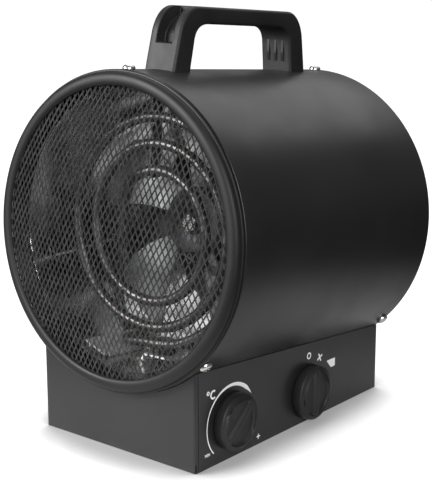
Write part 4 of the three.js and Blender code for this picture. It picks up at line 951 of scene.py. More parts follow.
# ---------------------------------------------------------------- screws
@dataclass
class Screws:
    """Pan head screws with a cross recess, set on their places by one tree."""

    radius: float = 4.2
    height: float = 2.6
    arm: float = 2.2
    arm_half: float = 0.42
    depth: float = 1.2
    segments: int = 32
    drum_r: float = 105.1
    drum_v: Pair = (5.3, 211.0)
    drum_deg: Triple = (90.0, -44.5, 224.5)
    plate_x: float = 60.15
    plate_y: Pair = (-81.0, 76.7)
    plate_z: float = 2.78
    arm_r: float = 98.6
    arm_v: float = 160.9
    arm_deg: Triple = (30.0, 150.0, 270.0)

    def build(self) -> None:
        """Sets the screws of the drum, the bottom plate and the motor bracket."""
        turn, down = LEANING.to_3x3().normalized(), Vector((0, 0, -1))
        drum = [(LEANING @ radial(self.drum_r, v, angle), turn @ radial(1.0, 0.0, angle))
                for v in self.drum_v for angle in self.drum_deg]
        plate = [(Vector((x, y, self.plate_z)) * MM, down) for x in (-self.plate_x, self.plate_x) for y in self.plate_y]
        arms = [(LEANING @ radial(self.arm_r, self.arm_v, angle), turn @ Vector((0, 1, 0))) for angle in self.arm_deg]
        ends = ("front", "rear")
        self.place("drum_screws", drum, [f"{end}_screw_{side}" for end in ends for side in ("top", "right", "left")])
        self.place("plate_screws", plate, [f"plate_screw_{end}_{side}" for end in ends for side in ("left", "right")])
        self.place("arm_screws", arms, [f"bracket_screw_{i}" for i in (1, 2, 3)])

    def place(self, name: str, points: Sequence[tuple[Vector, Vector]], nodes: Sequence[str]) -> None:
        """Sets a screw on each point.

        Args:
            name: Name of the piece.
            points: Places and the directions that the heads face.
            nodes: CAD screws that the piece stands for.
        """
        source = bpy.data.meshes.new(f"{name}_points")
        source.from_pydata([place for place, _ in points], [], [])
        facing = source.attributes.new("facing", "FLOAT_VECTOR", "POINT")
        for item, (_, out) in zip(facing.data, points):
            item.vector = out
        head = in_scene(f"{name}_head", self.head())
        tree = Tree(name)
        n = tree.nodes
        shape = n.add("GeometryNodeObjectInfo", {"Object": tree.size("Screw", "Object")})
        out = n.add("GeometryNodeInputNamedAttribute", {"Name": "facing"}, data_type="FLOAT_VECTOR").outputs[0]
        turn = n.add("FunctionNodeAlignRotationToVector", {"Vector": out}, axis="Z").outputs[0]
        spin = n.add("FunctionNodeRandomValue", {2: 0.0, 3: 3.0, "Seed": 5}, data_type="FLOAT").outputs[1]
        about = n.add("FunctionNodeAxisAngleToRotation", {"Axis": (0.0, 0.0, 1.0), "Angle": spin}).outputs[0]
        turned = n.add("FunctionNodeRotateRotation", {0: turn, 1: about}, rotation_space="LOCAL").outputs[0]
        feeds = {"Points": tree.enter.outputs[0], "Instance": shape.outputs["Geometry"], "Rotation": turned}
        tree.close(n.add("GeometryNodeInstanceOnPoints", feeds).outputs[0], MATERIALS[Slot.SCREW])
        mesh = tree.run(name, source, {"Screw": head})
        bpy.data.objects.remove(head)
        add_piece(name, mesh, Slot.SCREW, replaces=nodes, smooth_deg=32)

    def head(self) -> bpy.types.Mesh:
        """One screw on +z with its head above z = 0.

        Returns:
            The closed mesh, in metres.
        """
        r, h, turns = self.radius, self.height, around(self.segments)
        dome = [(1.6, -5.0), (1.6, 0.0), (r - 0.2, 0.0), (r, 0.25), (r * 0.98, h * 0.45), (r * 0.86, h * 0.78),
                (r * 0.66, h * 0.97)]
        rows = [[(a * math.cos(t), a * math.sin(t), z) for t in turns] for a, z in dome]
        for lift, share in ((h, 1.0), (h - self.depth, 0.82)):
            reach = [self.cross_radius(t) * share for t in turns]
            rows.append([(a * math.cos(t), a * math.sin(t), lift) for a, t in zip(reach, turns)])
        draft = Draft().grid(rows, close_columns=True)
        total = len(draft.verts)
        draft.faces += [tuple(reversed(range(self.segments))), tuple(range(total - self.segments, total))]
        return draft.mesh("screw", STRAIGHT)

    def cross_radius(self, angle: float) -> float:
        """How far the cross recess reaches at an angle."""
        c, s = abs(math.cos(angle)), abs(math.sin(angle))
        long, short = max(c, s), min(c, s)
        return min(self.arm / long, self.arm_half / max(short, 1e-6)) if short > 1e-6 else self.arm


# ---------------------------------------------------------------- hot end
@dataclass
class HotEnd:
    """The inner duct and the coiled heating element."""

    duct_r: float = 94.0
    sheet: float = 0.8
    coil_v: float = 31.0
    tube_r: float = 3.5
    outer_r: float = 77.0
    pitch: float = 17.5
    turns: float = 2.6
    round_turns: float = 0.4
    first_turn: float = 0.03
    points_a_turn: int = 18
    facets: int = 16
    start_deg: float = 256.0
    shift_x: float = 5.0
    lip: float = 103.7
    bracket_deg: float = 250.6
    pin_r: float = 81.5
    pin_side: float = 6.5
    pin_v: float = 66.0

    def build(self) -> None:
        """Builds the duct and the element."""
        r, s, lip = self.duct_r, self.sheet, self.lip
        profile = [(lip, 10.5), (lip, 11.3), (r + 0.8, 11.3), (r, 12.1), (r, 157.2), (r + 0.8, 158.0), (lip, 158.0)]
        profile += [(lip, 158.8), (r + 0.2, 158.8), (r - s, 157.8), (r - s, 10.8), (r - s + 0.3, 10.5)]
        finish = BRIGHT_DUCT.material()
        add_turned("duct_liner", profile, 160, Slot.GALVANISED, ["heat_shield_duct"], material=finish)
        self.element()

    def coil_point(self, turn: float) -> Vector:
        """A point on the coil, counted in turns from its outer end."""
        angle = math.radians(self.start_deg + 360 * turn)
        r = self.outer_r - self.pitch * max(0.0, turn - self.round_turns)
        return Vector((self.shift_x + r * math.cos(angle), self.coil_v, r * math.sin(angle)))

    def at_bracket(self, radius: float, sideways: float, v: float) -> Vector:
        """A place on the terminal bracket: its height over the axis, sideways from its middle, and depth."""
        a = math.radians(self.bracket_deg)
        return Vector((radius * math.cos(a) - sideways * math.sin(a), v, radius * math.sin(a) + sideways * math.cos(a)))

    def route(self) -> list[Vector]:
        """The tube's route, from its outer cold end round the coil and back behind it.

        Returns:
            Points in the drum's frame.
        """
        at, back, r, side = self.at_bracket, self.coil_v + 12, self.pin_r, self.pin_side
        points = [at(r, side, self.pin_v), at(r, side, 50), at(r, side, 41), at(r - 1, side + 3, 34)]
        first, coil = self.first_turn, self.turns - self.first_turn
        steps = round(coil * self.points_a_turn)
        points += [self.coil_point(first + coil * i / steps) for i in range(steps + 1)]
        behind = ((-21, back - 8, 29), (-30, back - 4, 14), (-34.5, back, -6), (-35.5, back, -30), (-35, back, -54))
        points += [Vector(p) for p in behind]
        points += [at(r - 5, -side, back + 1.5), at(r, -side, back + 6.5), at(r, -side, back + 12)]
        return [*points, at(r, -side, self.pin_v)]

    def element(self) -> None:
        """The tube, swept along its route by a tree, and its two terminal pins."""
        route = [LEANING @ point for point in smooth_path(self.route(), 7)]
        curve = poly_curve("element_route", [route], "3D", closed=False)
        tree = Tree("swept_tube")
        n = tree.nodes
        feeds = {"Resolution": tree.size("Facets", "Int"), "Radius": tree.size("Tube Radius")}
        section = n.add("GeometryNodeCurvePrimitiveCircle", feeds, mode="RADIUS").outputs[0]
        feeds = {"Curve": tree.enter.outputs[0], "Profile Curve": section, "Fill Caps": True}
        tree.close(n.add("GeometryNodeCurveToMesh", feeds).outputs[0], MATERIALS[Slot.ELEMENT])
        parts = [tree.run("element_tube", curve, {"Facets": self.facets, "Tube Radius": self.tube_r * MM})]
        for side in (-self.pin_side, self.pin_side):
            pin = Draft().lathe([(0, -2), (1.4, -2), (1.4, 7.6), (1.0, 8), (0, 8)], 16)
            parts.append(pin.mesh("pin", LEANING @ Matrix.Translation(self.at_bracket(self.pin_r, side, self.pin_v))))
        add_piece("element_tube", joined("element_tube", parts), Slot.ELEMENT, replaces=["heating_element"])


# ---------------------------------------------------------------- fan and motor
@dataclass
class FanAndMotor:
    """The axial fan and the smooth parts of its motor."""

    fan_v: float = 84.0
    tip_r: float = 84.0
    hub_r: float = 25.0
    blades: int = 5
    sheet: float = 1.2
    arc_deg: float = 46.0
    pitch_deg: float = 27.0
    pitch_r: float = 54.0
    flatten: float = 0.62
    sweep: float = 0.18
    camber: float = 3.2
    rest_deg: float = 65.0
    case: Pair = (110.0, 150.0)
    case_r: float = 36.0
    case_wall: float = 2.0
    shaft_seat: float = 7.3

    def build(self) -> None:
        """Builds the fan, its hub and the motor's case."""
        tree = Tree("bladed_wheel")
        n = tree.nodes
        count, first = tree.size("Blades", "Int"), tree.size("First Blade")
        points = n.add("GeometryNodeMeshLine", {"Count": count, "Offset": (0.0, 0.0, 0.0)}).outputs[0]
        step = n.math("DIVIDE", 2 * math.pi, count)
        angle = n.math("ADD", n.math("MULTIPLY", n.add("GeometryNodeInputIndex").outputs[0], step), first)
        turn = n.add("FunctionNodeAxisAngleToRotation", {"Axis": (0.0, 1.0, 0.0), "Angle": angle}).outputs[0]
        feeds = {"Points": points, "Instance": tree.enter.outputs[0], "Rotation": turn}
        tree.close(n.add("GeometryNodeInstanceOnPoints", feeds).outputs[0], MATERIALS[Slot.FAN])
        sizes = {"Blades": self.blades, "First Blade": math.radians(self.rest_deg)}
        blades = tree.run("fan_blades", self.blade(), sizes)
        blades.transform(LEANING)
        y0, y1, r = self.fan_v - 8, self.fan_v + 8, self.hub_r
        hub = [(4.15, y0 + 2), (8, y0 + 2), (8.4, y0 + 0.4), (9.0, y0), (r - 3.6, y0)]
        hub += arc((r - 3.6, y0 + 3.6), 3.6, -90, 0, 6)
        hub += [(r, y1), (r - 1.6, y1), (r - 1.6, y0 + 4), (9.5, y0 + 4), (9.5, y1 - 1), (4.15, y1 - 1)]
        add_piece("fan_wheel", blades, Slot.FAN, Body.FAN, ["fan"], smooth_deg=42)
        add_turned("fan_hub", hub, 96, Slot.MOTOR, body=Body.FAN)
        self.motor()

    def blade(self) -> bpy.types.Mesh:
        """One cupped blade with its thickness.

        Returns:
            The closed mesh, in millimetres, in the drum's frame.
        """
        long, wide = 20, 14
        sides = [[[self.blade_point(j / long, i / wide - 0.5, level) for i in range(wide + 1)]
                  for j in range(long + 1)] for level in (-0.5, 0.5)]
        draft = Draft().grid(sides[0]).grid(sides[1])
        for j in (0, long):
            draft.grid([rows[j] for rows in sides])
        for i in (0, wide):
            draft.grid([[row[i] for row in rows] for rows in sides])
        return draft.mesh("blade", Matrix.Identity(4))

    def blade_point(self, u: float, t: float, level: float) -> Triple:
        """A point of the blade.

        Args:
            u: Place from its root at 0 to its tip at 1.
            t: Place across it, from -0.5 to 0.5.
            level: Place in its thickness, from -0.5 to 0.5.

        Returns:
            The point in the drum's frame.
        """
        radius = self.hub_r - 1 + (self.tip_r - self.hub_r + 1) * u
        span = math.radians(self.arc_deg) * (0.75 + 0.25 * u) * (1 - 0.22 * u**6)
        a = t * span + self.sweep * u * u
        rise = t * span * self.pitch_r * math.tan(math.radians(self.pitch_deg)) * (0.62 + 0.38 * (1 - u))
        cup = self.camber * (0.25 - t * t) * 4 * u
        v = self.fan_v - 1 - rise * self.flatten - cup + level * self.sheet
        return (radius * math.cos(a), v, radius * math.sin(a))

    def motor(self) -> None:
        """The drawn motor case and its end cap."""
        (f, b), r, w, seat = self.case, self.case_r, self.case_wall, self.shaft_seat
        cup = [(seat, f), (r - 4, f), *arc((r - 4, f + 4), 4, -90, 0, 6), (r, b), (r - w, b), (r - w, f + 4)]
        cup += [(r - 4, f + w), (seat + w, f + w), (seat + w, f + 9), (seat, f + 9)]
        add_turned("motor_case", cup, 96, Slot.MOTOR, ["motor_housing"])
        cap = [(seat, b + 2.6), (r - 0.8, b + 2.6), (r, b + 1.8), (r, b + 0.3), (seat + w, b + 0.3), (seat + w, b - 6)]
        add_turned("motor_cap", [*cap, (seat, b - 6)], 96, Slot.MOTOR, ["motor_end_cap"])


# ---------------------------------------------------------------- handle
@dataclass
class Handle:
    """The moulded handle: two legs, a grip, and a channel sunk into each outer corner."""

    half_w: float = 13.2
    middle: float = 106.6
    foot: float = 105.1
    drum_r: float = 105.05
    ledge: float = 122.3
    shoulder: float = 128.0
    top: float = 146.8
    under: float = 135.4
    pocket_half: float = 7.0
    pocket_floor: float = 140.8
    edge: float = 2.3
    pocket_edge: float = 0.7
    rib_half: float = 1.15
    rib_step: float = 6.3
    rib_edge: float = 0.3

    def build(self) -> None:
        """Builds the handle as one mesh."""
        w, p = self.half_w, self.pocket_half
        rows = []
        for outer, inner, floor in zip(*self.outlines()):
            o, i, f = outer, inner, floor or outer
            rows.append([(-w, *i), (w, *i), (w, *o), (p, *o), (p, *f), (-p, *f), (-p, *o), (-w, *o)])
        draft = Draft().grid(rows, close_columns=True)
        count = len(rows[0])
        for first in (0, (len(rows) - 1) * count):
            draft.faces.append(tuple(first + k for k in (0, 1, 2, 3, 6, 7)))
        body = draft.mesh("handle_body", LEANING @ Matrix.Translation((0, self.middle, 0)))
        self.seat(body)
        self.round_edges(body)
        ribs = [self.rib(side, i * self.rib_step) for side in (-1, 1) for i in (-1, 0, 1)]
        mesh = joined("carry_handle", [body, *ribs])
        add_piece("carry_handle", mesh, Slot.PLASTIC, replaces=["handle"], smooth_deg=34)

    def outlines(self) -> tuple[list[Pair], list[Pair], list[Pair | None]]:
        """Stations along the handle from the front foot to the rear one.

        Returns:
            The outer line, the finger side, and the channel's floor where there is one.
        """
        ledge, top, under, floor_z = self.ledge, self.top, self.under, self.pocket_floor
        rise = self.shoulder - self.foot
        at_ledge = (ledge - self.foot) / rise
        outer = [(-72.8 + 4.6 * t, self.foot + rise * t) for t in (0, 0.25, 0.5)]
        outer += [(-72.8 + 4.6 * at_ledge, ledge)] * 2
        outer += bezier((-68.2, self.shoulder), (-66.2, 139.0), (-59.0, top), (-50.0, top), 14)
        outer += [(x, top) for x in (-46.0, -46.0, -30.0, -15.0)]
        inner = [(-55.4 + 2.6 * t, self.foot + 16.4 * t) for t in (0, 0.33, 0.62)] + [(-52.75, ledge)] * 2
        inner += bezier((-52.3, 125.5), (-50.8, 132.4), (-45.5, under), (-37.5, under), 14)
        inner += [(x, under) for x in (-34.5, -34.5, -26.0, -13.0)]
        floor: list[Pair | None] = [None] * 4 + [(-60.2, ledge)]
        floor += bezier((-59.9, 126.4), (-59.2, 133.0), (-52.0, 138.8), (-46.0, floor_z), 14)
        floor += [(-46.0, floor_z), None, None, None]
        middles = ((0.0, top), (0.0, under), None)
        return tuple([*line, at, *mirrored(line)] for line, at in zip((outer, inner, floor), middles))

    def seat(self, mesh: bpy.types.Mesh) -> None:
        """Lets the feet follow the round of the drum."""
        into = LEANING.inverted()
        for vertex in mesh.vertices:
            place = into @ vertex.co
            if place.z < self.foot + 0.01:
                place.z = math.sqrt(self.drum_r**2 - place.x**2)
                vertex.co = LEANING @ place

    def round_edges(self, mesh: bpy.types.Mesh) -> None:
        """Rounds the long edges wide and the channel's edges narrow."""
        w, p = self.half_w, self.pocket_half
        with editing(mesh) as work:
            for low, high, turn, size, steps in (
                (w - 0.01, w + 0.01, 0.6, self.edge, 5), (0.0, p + 0.05, 0.5, self.pocket_edge, 3)
            ):
                round_off(work, self.corners(work, low, high, turn), size, steps)
            bmesh.ops.recalc_face_normals(work, faces=work.faces)

    def corners(self, work: bmesh.types.BMesh, low: float, high: float, turn: float) -> list[bmesh.types.BMEdge]:
        """Finds the handle's edges that get a round.

        Args:
            work: The handle's mesh.
            low: Least distance from the middle plane.
            high: Greatest distance from it.
            turn: Angle that the faces at the edge turn by at least.

        Returns:
            The edges, without those on the drum.
        """
        into = LEANING.inverted()
        found = []
        for edge in work.edges:
            places = [into @ v.co for v in edge.verts]
            if all(low <= abs(p.x) <= high and p.z > self.foot - 2 for p in places) and len(edge.link_faces) == 2:
                if edge.calc_face_angle(0.0) > turn and max(p.z for p in places) > self.foot + 1:
                    found.append(edge)
        return found

    def rib(self, side: int, across: float) -> bpy.types.Mesh:
        """One tapering rib on the finger side of a leg.

        Args:
            side: -1 for the front leg, 1 for the rear one.
            across: Place over the width.

        Returns:
            The closed mesh.
        """
        outline = [(53.9, 111.6), (52.3, 117.5), (52.0, 128.6), (56.2, 128.6), (56.2, 111.6)]
        half = self.rib_half
        draft = Draft().prism([(side * x, h) for x, h in outline], across - half, across + half)
        turned = Matrix(((0, 0, 1, 0), (1, 0, 0, self.middle), (0, 1, 0, 0), (0, 0, 0, 1)))
        mesh = draft.mesh("rib", LEANING @ turned)
        with editing(mesh) as work:
            round_off(work, work.edges[:], self.rib_edge, 2)
        return mesh


def mirrored(line: Sequence[Pair | None]) -> list[Pair | None]:
    """Returns a line of the handle's front half as it runs back along the rear half."""
    return [(-place[0], place[1]) if place else None for place in reversed(line)]


# ---------------------------------------------------------------- base
@dataclass
class Base:
    """The folded base with its saddle, its printed panel and the cord gland."""

    half_w: float = PANEL_X
    front: float = -108.0
    rear: float = 103.7
    sheet: float = 1.2
    bend: float = 1.8
    foot: float = 0.4
    relief: float = 5.0
    relief_share: float = 0.28
    saddle_r: float = 105.2
    tallest: float = 76.0
    facing: float = 0.25
    step: float = 2.4
    notch: float = 0.9
    notch_steps: tuple[int, int] = (4, 5)
    seam: float = 0.55
    seam_at: tuple[float, ...] = (0.55, 0.75, 1.05, 1.25)
    seam_clear: float = 1.6
    flange_w: float = 13.0
    flange_gap: float = 0.6
    flange_z: Pair = (4.2, 5.4)
    gland_at: Pair = (-48.0, 15.0)
    ink: float = 0.05

    def build(self) -> None:
        """Builds the base housing and what is on it."""
        self.housing()
        self.marks()
        self.gland()

    def perimeter(self) -> list[tuple[Vector, Vector, float, bool]]:
        """Points round the base.

        Returns:
            Place, direction outwards, depth of the seam there, and whether a corner notch is there; seen from above,
            anticlockwise.
        """
        w, b, steps = self.half_w, self.bend, 8
        corners = [((w - b, self.front + b), -90), ((w - b, self.rear - b), 0), ((b - w, self.rear - b), 90),
                   ((b - w, self.front + b), 180)]
        points: list[tuple[Vector, Vector, float, bool]] = []
        for k, (middle, start) in enumerate(corners):
            for i in range(steps + 1):
                turn = math.radians(start + 90 * i / steps)
                out = Vector((math.cos(turn), math.sin(turn)))
                points.append((Vector(middle) + out * b, out, 0.0, i in self.notch_steps))
            first, out = points[-1][:2]
            turn = math.radians(corners[(k + 1) % 4][1])
            last = Vector(corners[(k + 1) % 4][0]) + Vector((math.cos(turn), math.sin(turn))) * b
            length = (last - first).length
            count = round(length / self.step)
            seam = dict(zip(self.seam_at, (0.0, self.seam, self.seam, 0.0))) if k == 0 else {}
            stops = [length * i / count for i in range(1, count) if not seam or length * i / count > self.seam_clear]
            for at in sorted([*stops, *seam]):
                points.append((first.lerp(last, at / length), out, seam.get(at, 0.0), False))
        return points

    def housing(self) -> None:
        """The folded sheet: a wall all round with the drum's saddle cut into it, and its bottom flange."""
        ring, edge = self.perimeter(), 1.001
        heights = ((0.0, self.facing), (0.0, 0.0), (0.28, 0.0), (0.3, 0.0), (0.6, 0.0), (0.97, 0.0), (1.0, 0.0),
                   (edge, self.facing), (edge, self.sheet), (0.5, self.sheet), (0.0, self.sheet))
        levels = [[self.wall_point(row, share, back) for row in ring] for share, back in heights]
        shell = Draft().grid(levels, close_rows=True, close_columns=True).mesh("base_shell", STRAIGHT)
        w, s, gap, middle = self.half_w - self.flange_gap, self.flange_w, self.flange_gap, (self.front + self.rear) / 2
        outer = box(-w, self.front + gap, w, self.rear - gap)
        inner = [(x - math.copysign(s, x), y - math.copysign(s, y - middle)) for x, y in outer]
        flange = Draft().band(outer, inner, *self.flange_z, closed=True).mesh("base_flange", STRAIGHT)
        add_piece("base_walls", joined("base_walls", [shell, flange]), Slot.PAINT, replaces=["base_housing"])

    def wall_point(self, row: tuple[Vector, Vector, float, bool], share: float, back: float) -> Triple:
        """A point of the wall.

        Args:
            row: The row of the perimeter.
            share: Height, from 0 at the foot to 1 a little under the saddle's edge; more is the edge itself.
            back: Distance inwards from the outer face.

        Returns:
            The point.
        """
        place, out, seam, notch = row
        low = share < self.relief_share + 0.01
        inset = back if back else (self.notch if notch and low else seam)
        spot = place - out * inset
        top = min(DRUM.wall_top(spot.x, spot.y, self.saddle_r), self.tallest)
        if share > 1:
            height = top
        elif low:
            height = self.foot + (self.relief - self.foot) * share / self.relief_share
        else:
            rest = (share - self.relief_share) / (1 - self.relief_share)
            height = self.relief + (top - self.facing - self.relief) * rest
        return (spot.x, spot.y, height)

    def marks(self) -> None:
        """The white marks beside the two controls, placed by how far back from the panel's front and how high."""
        rings = (((123.2, 47.8), 2.5, 1.5, 0, 360, 28), ((12.5, 51.4), 1.5, 0.6, 0, 360, 16),
                 ((17.7, 49.3), 3.2, 1.85, 48, 312, 24))
        bands = [self.turning_scale()]
        bands += [(arc(middle, outer, *turn), arc(middle, inner, *turn)) for middle, outer, inner, *turn in rings]
        wedge = [(145.4, 37.9), (145.4, 38.3), (155.6, 38.3), (155.6, 32.3), (150.7, 32.1)]
        blade = ((0.8, -30), (2.3, -16), (3.6, 4), (3.0, 18), (1.5, 30))
        wheel = [arc((136.4, 43.3), r, 90 * k + turn + 20, 0, 1)[0] for k in range(4) for r, turn in blade]
        x, y, long, half = 65.3, 6.0, 1.9, 0.4
        plus = [box(x - long, y - half, x + long, y + half), box(x - half, y + half, x + half, y + long),
                box(x - half, y - long, x + half, y - half)]
        draft = Draft()
        for one, two in bands:
            draft.band(one, two, 0.0, self.ink, closed=False)
        for outline in (wedge, wheel, *plus):
            draft.prism(outline, 0.0, self.ink)
        place = on_panel(self.half_w + 0.02, self.front, 0.0)
        mesh = joined("panel_print", [draft.mesh("panel_print", place), self.word("MIN", 3.0, (8.9, 8.6), place)])
        add_piece("panel_print", mesh, Slot.PAINT, material=INK.material())

    @staticmethod
    def turning_scale() -> tuple[list[Pair], list[Pair]]:
        """The arc round the left control, which grows wider clockwise and ends in a point.

        Returns:
            Its outer and its inner line.
        """
        middle, radius, steps = (36.5, 26.1), 25.7, 60
        point = 0.9  # where the point starts, as a share of the arc
        outer, inner = [], []
        for i in range(steps + 1):
            share = i / steps
            angle, past = 223 - 191 * share, max(0.0, share - point) / 0.1
            wide = (0.8 + 2.4 * max(0.0, share - 0.35) / 0.65) * (1.0 if share < point else (1 - share) / 0.1)
            outer.append(arc(middle, radius - 1.2 * past, angle, angle, 1)[0])
            inner.append(arc(middle, radius - max(wide, 0.02) - 1.2 * past, angle, angle, 1)[0])
        return outer, inner

    @staticmethod
    def word(text: str, height: float, at: Pair, place: Matrix) -> bpy.types.Mesh:
        """A plain dial word.

        Args:
            text: The word.
            height: Height of its letters.
            at: Its lower left corner on the panel.
            place: Change from the panel's drawing to the part's frame.

        Returns:
            The mesh.
        """
        letters, half = bpy.data.curves.new("dial_word", "FONT"), 0.025
        letters.body, letters.size, letters.extrude, letters.resolution_u = text, height, half, 3
        letters.offset = 0.02 * height
        mesh = plain_mesh(in_scene("dial_word", letters))
        tidy(mesh)
        mesh.transform(place @ Matrix.Translation((*at, half)))
        return mesh

    def gland(self) -> None:
        """The cord gland in the rear wall, with no cord in it."""
        bore, neck, rim, s = 3.6, 6.4, 9.0, self.sheet
        profile = [(bore, 4.6), (bore + 0.4, 5.0), (neck - 0.4, 5.0), (neck, 4.6), (neck + 0.4, 4.0), (rim - 1, 3.6)]
        profile += [(rim - 0.2, 2.4), (rim, 1.0), (rim, 0.3), (neck, 0.3), (neck, -s - 0.3), (neck + 1.2, -s - 0.3)]
        profile += [(neck, -s - 6), (bore, -s - 6)]
        x, z = self.gland_at
        mesh = Draft().lathe(profile, 48).mesh("cord_gland", STRAIGHT @ Matrix.Translation((x, self.rear, z)))
        add_piece("cord_gland", mesh, Slot.PLASTIC, replaces=["cable_gland"])


# ---------------------------------------------------------------- controls
@dataclass
class Knob:
    """A round knob with a leaf shaped hollow in its face, parted by a ridge that points at the marks."""

    node: str
    body: Body
    y: float
    z: float
    turn_deg: float
    radius: float = 19.4
    crest_r: float = 18.3
    height: float = 8.6
    stand: float = 1.0
    leaf_w: float = 15.4
    leaf_tip: float = 17.0
    leaf_end: float = 16.4
    hollow: float = 2.2
    crown: float = 1.5
    ridge_half: float = 1.2
    flank: float = 2.6
    droop: float = 0.6
    end_wall: float = 2.4
    slope: float = 1.5
    skirt_r: float = 17.4
    bore_r: float = 3.1
    bore_top: float = 3.4
    spindle_r: float = 3.0
    spindle: Pair = (-16.2, 3.2)
    bead: tuple[Pair, ...] = ((1.0, 0.0), (0.55, -0.22), (0.1, -0.28), (-0.3, 0.1), (-0.8, 0.7), (-1.5, 1.0))

    def build(self) -> None:
        """Builds the knob and its spindle."""
        face = self.face()
        rim = [line[0] for line in face] + [line[-1] for line in reversed(face[1:-1])]
        bend = [(self.crest_r, 0.0), (18.65, -0.25), (18.95, -0.6), (19.15, -1.2), (19.3, -3.0)]
        skirt = [[(x / self.crest_r * r, y / self.crest_r * r, z + down) for x, y, z in rim] for r, down in bend]
        foot = ((self.radius, 0.3), (19.1, 0.0), (self.skirt_r, 0.0), (self.skirt_r, 1.6), (self.bore_r, 1.6),
                (self.bore_r, self.bore_top), (0.0, self.bore_top))
        skirt += [[(x / self.crest_r * r, y / self.crest_r * r, z) for x, y, _ in rim] for r, z in foot]
        draft = Draft().grid(face).grid(skirt, close_columns=True)
        place = on_panel(PANEL_X, self.y, self.z, self.turn_deg) @ Matrix.Translation((0, 0, self.stand))
        mesh = draft.mesh(self.node, place)
        add_piece(f"{self.node}_cap", mesh, Slot.PLASTIC, self.body, [self.node], smooth_deg=50)
        r, (low, high) = self.spindle_r, self.spindle
        outline = [(0, low), (r - 0.4, low), (r, low + 0.4), (r, high - 0.3), (r - 0.3, high), (0, high)]
        mesh = Draft().lathe(outline, 24).mesh("spindle", place @ UPRIGHT)
        shaft = self.node.replace("knob", "shaft")
        add_piece(f"{self.node}_spindle", mesh, Slot.SCREW, self.body, [shaft])

    def face(self) -> list[list[Triple]]:
        """Lines along the ridge that make the knob's face, each from edge to edge.

        Returns:
            The lines, with the same number of points.
        """
        inner, lines = 15, []
        for x in self.columns():
            edge = math.sqrt(max(self.crest_r**2 - x * x, 0.0))
            low, high = -self.leaf_y(x, self.leaf_end, 2.0, 0.5), self.leaf_y(x, self.leaf_tip, 1.6, 0.65)
            half, depth = (high - low) / 2, self.depth_at(x)
            first, last = low + min(self.slope, half), high - min(self.slope, half)
            line = [(-edge, 0.0)] + [(max(low - min(out, half), -edge), depth * down) for out, down in self.bead]
            line += [(first + (last - first) * j / inner, depth) for j in range(1, inner)]
            line += [(min(high + max(out, -half), edge), depth * down) for out, down in reversed(self.bead)]
            lines.append([(x, y, self.level(x, y) - down) for y, down in [*line, (edge, 0.0)]])
        return lines

    def level(self, x: float, y: float) -> float:
        """Height of the face before its hollow is cut: a crown that droops towards the tip."""
        share = math.hypot(x, y) / self.crest_r
        return self.height - self.crown * share**6 - self.droop * max(0.0, y / self.crest_r) ** 2

    def leaf_y(self, x: float, reach: float, power: float, root: float) -> float:
        """How far the leaf reaches along the ridge, at a place across it."""
        return reach * max(0.0, 1 - min(1.0, abs(x) / self.leaf_w) ** power) ** root

    def depth_at(self, x: float) -> float:
        """How deep the hollow is at a place across the ridge."""
        across = abs(x)
        down = min(1.0, max(0.0, (across - self.ridge_half) / self.flank))
        wall = min(1.0, max(0.0, (self.leaf_w - across) / self.end_wall))
        return self.hollow * down * down * (3 - 2 * down) * wall * (1 - 0.012 * across)

    def columns(self) -> list[float]:
        """Where the face's lines stand across the ridge.

        Returns:
            Places from one side of the face to the other.
        """
        g, wall = self.ridge_half, self.leaf_w - self.end_wall
        half = [0.0, g * 0.6, g, *(g + self.flank * i / 8 for i in range(1, 9))]
        last = half[-1]
        half += [last + (wall - last) * i / 10 for i in range(1, 11)]
        half += [wall + self.end_wall * i / 6 for i in range(1, 7)]
        half += [self.leaf_w + (self.crest_r - self.leaf_w) * math.sin(math.pi / 2 * i / 5) for i in range(1, 6)]
        return [-x for x in reversed(half[1:])] + half


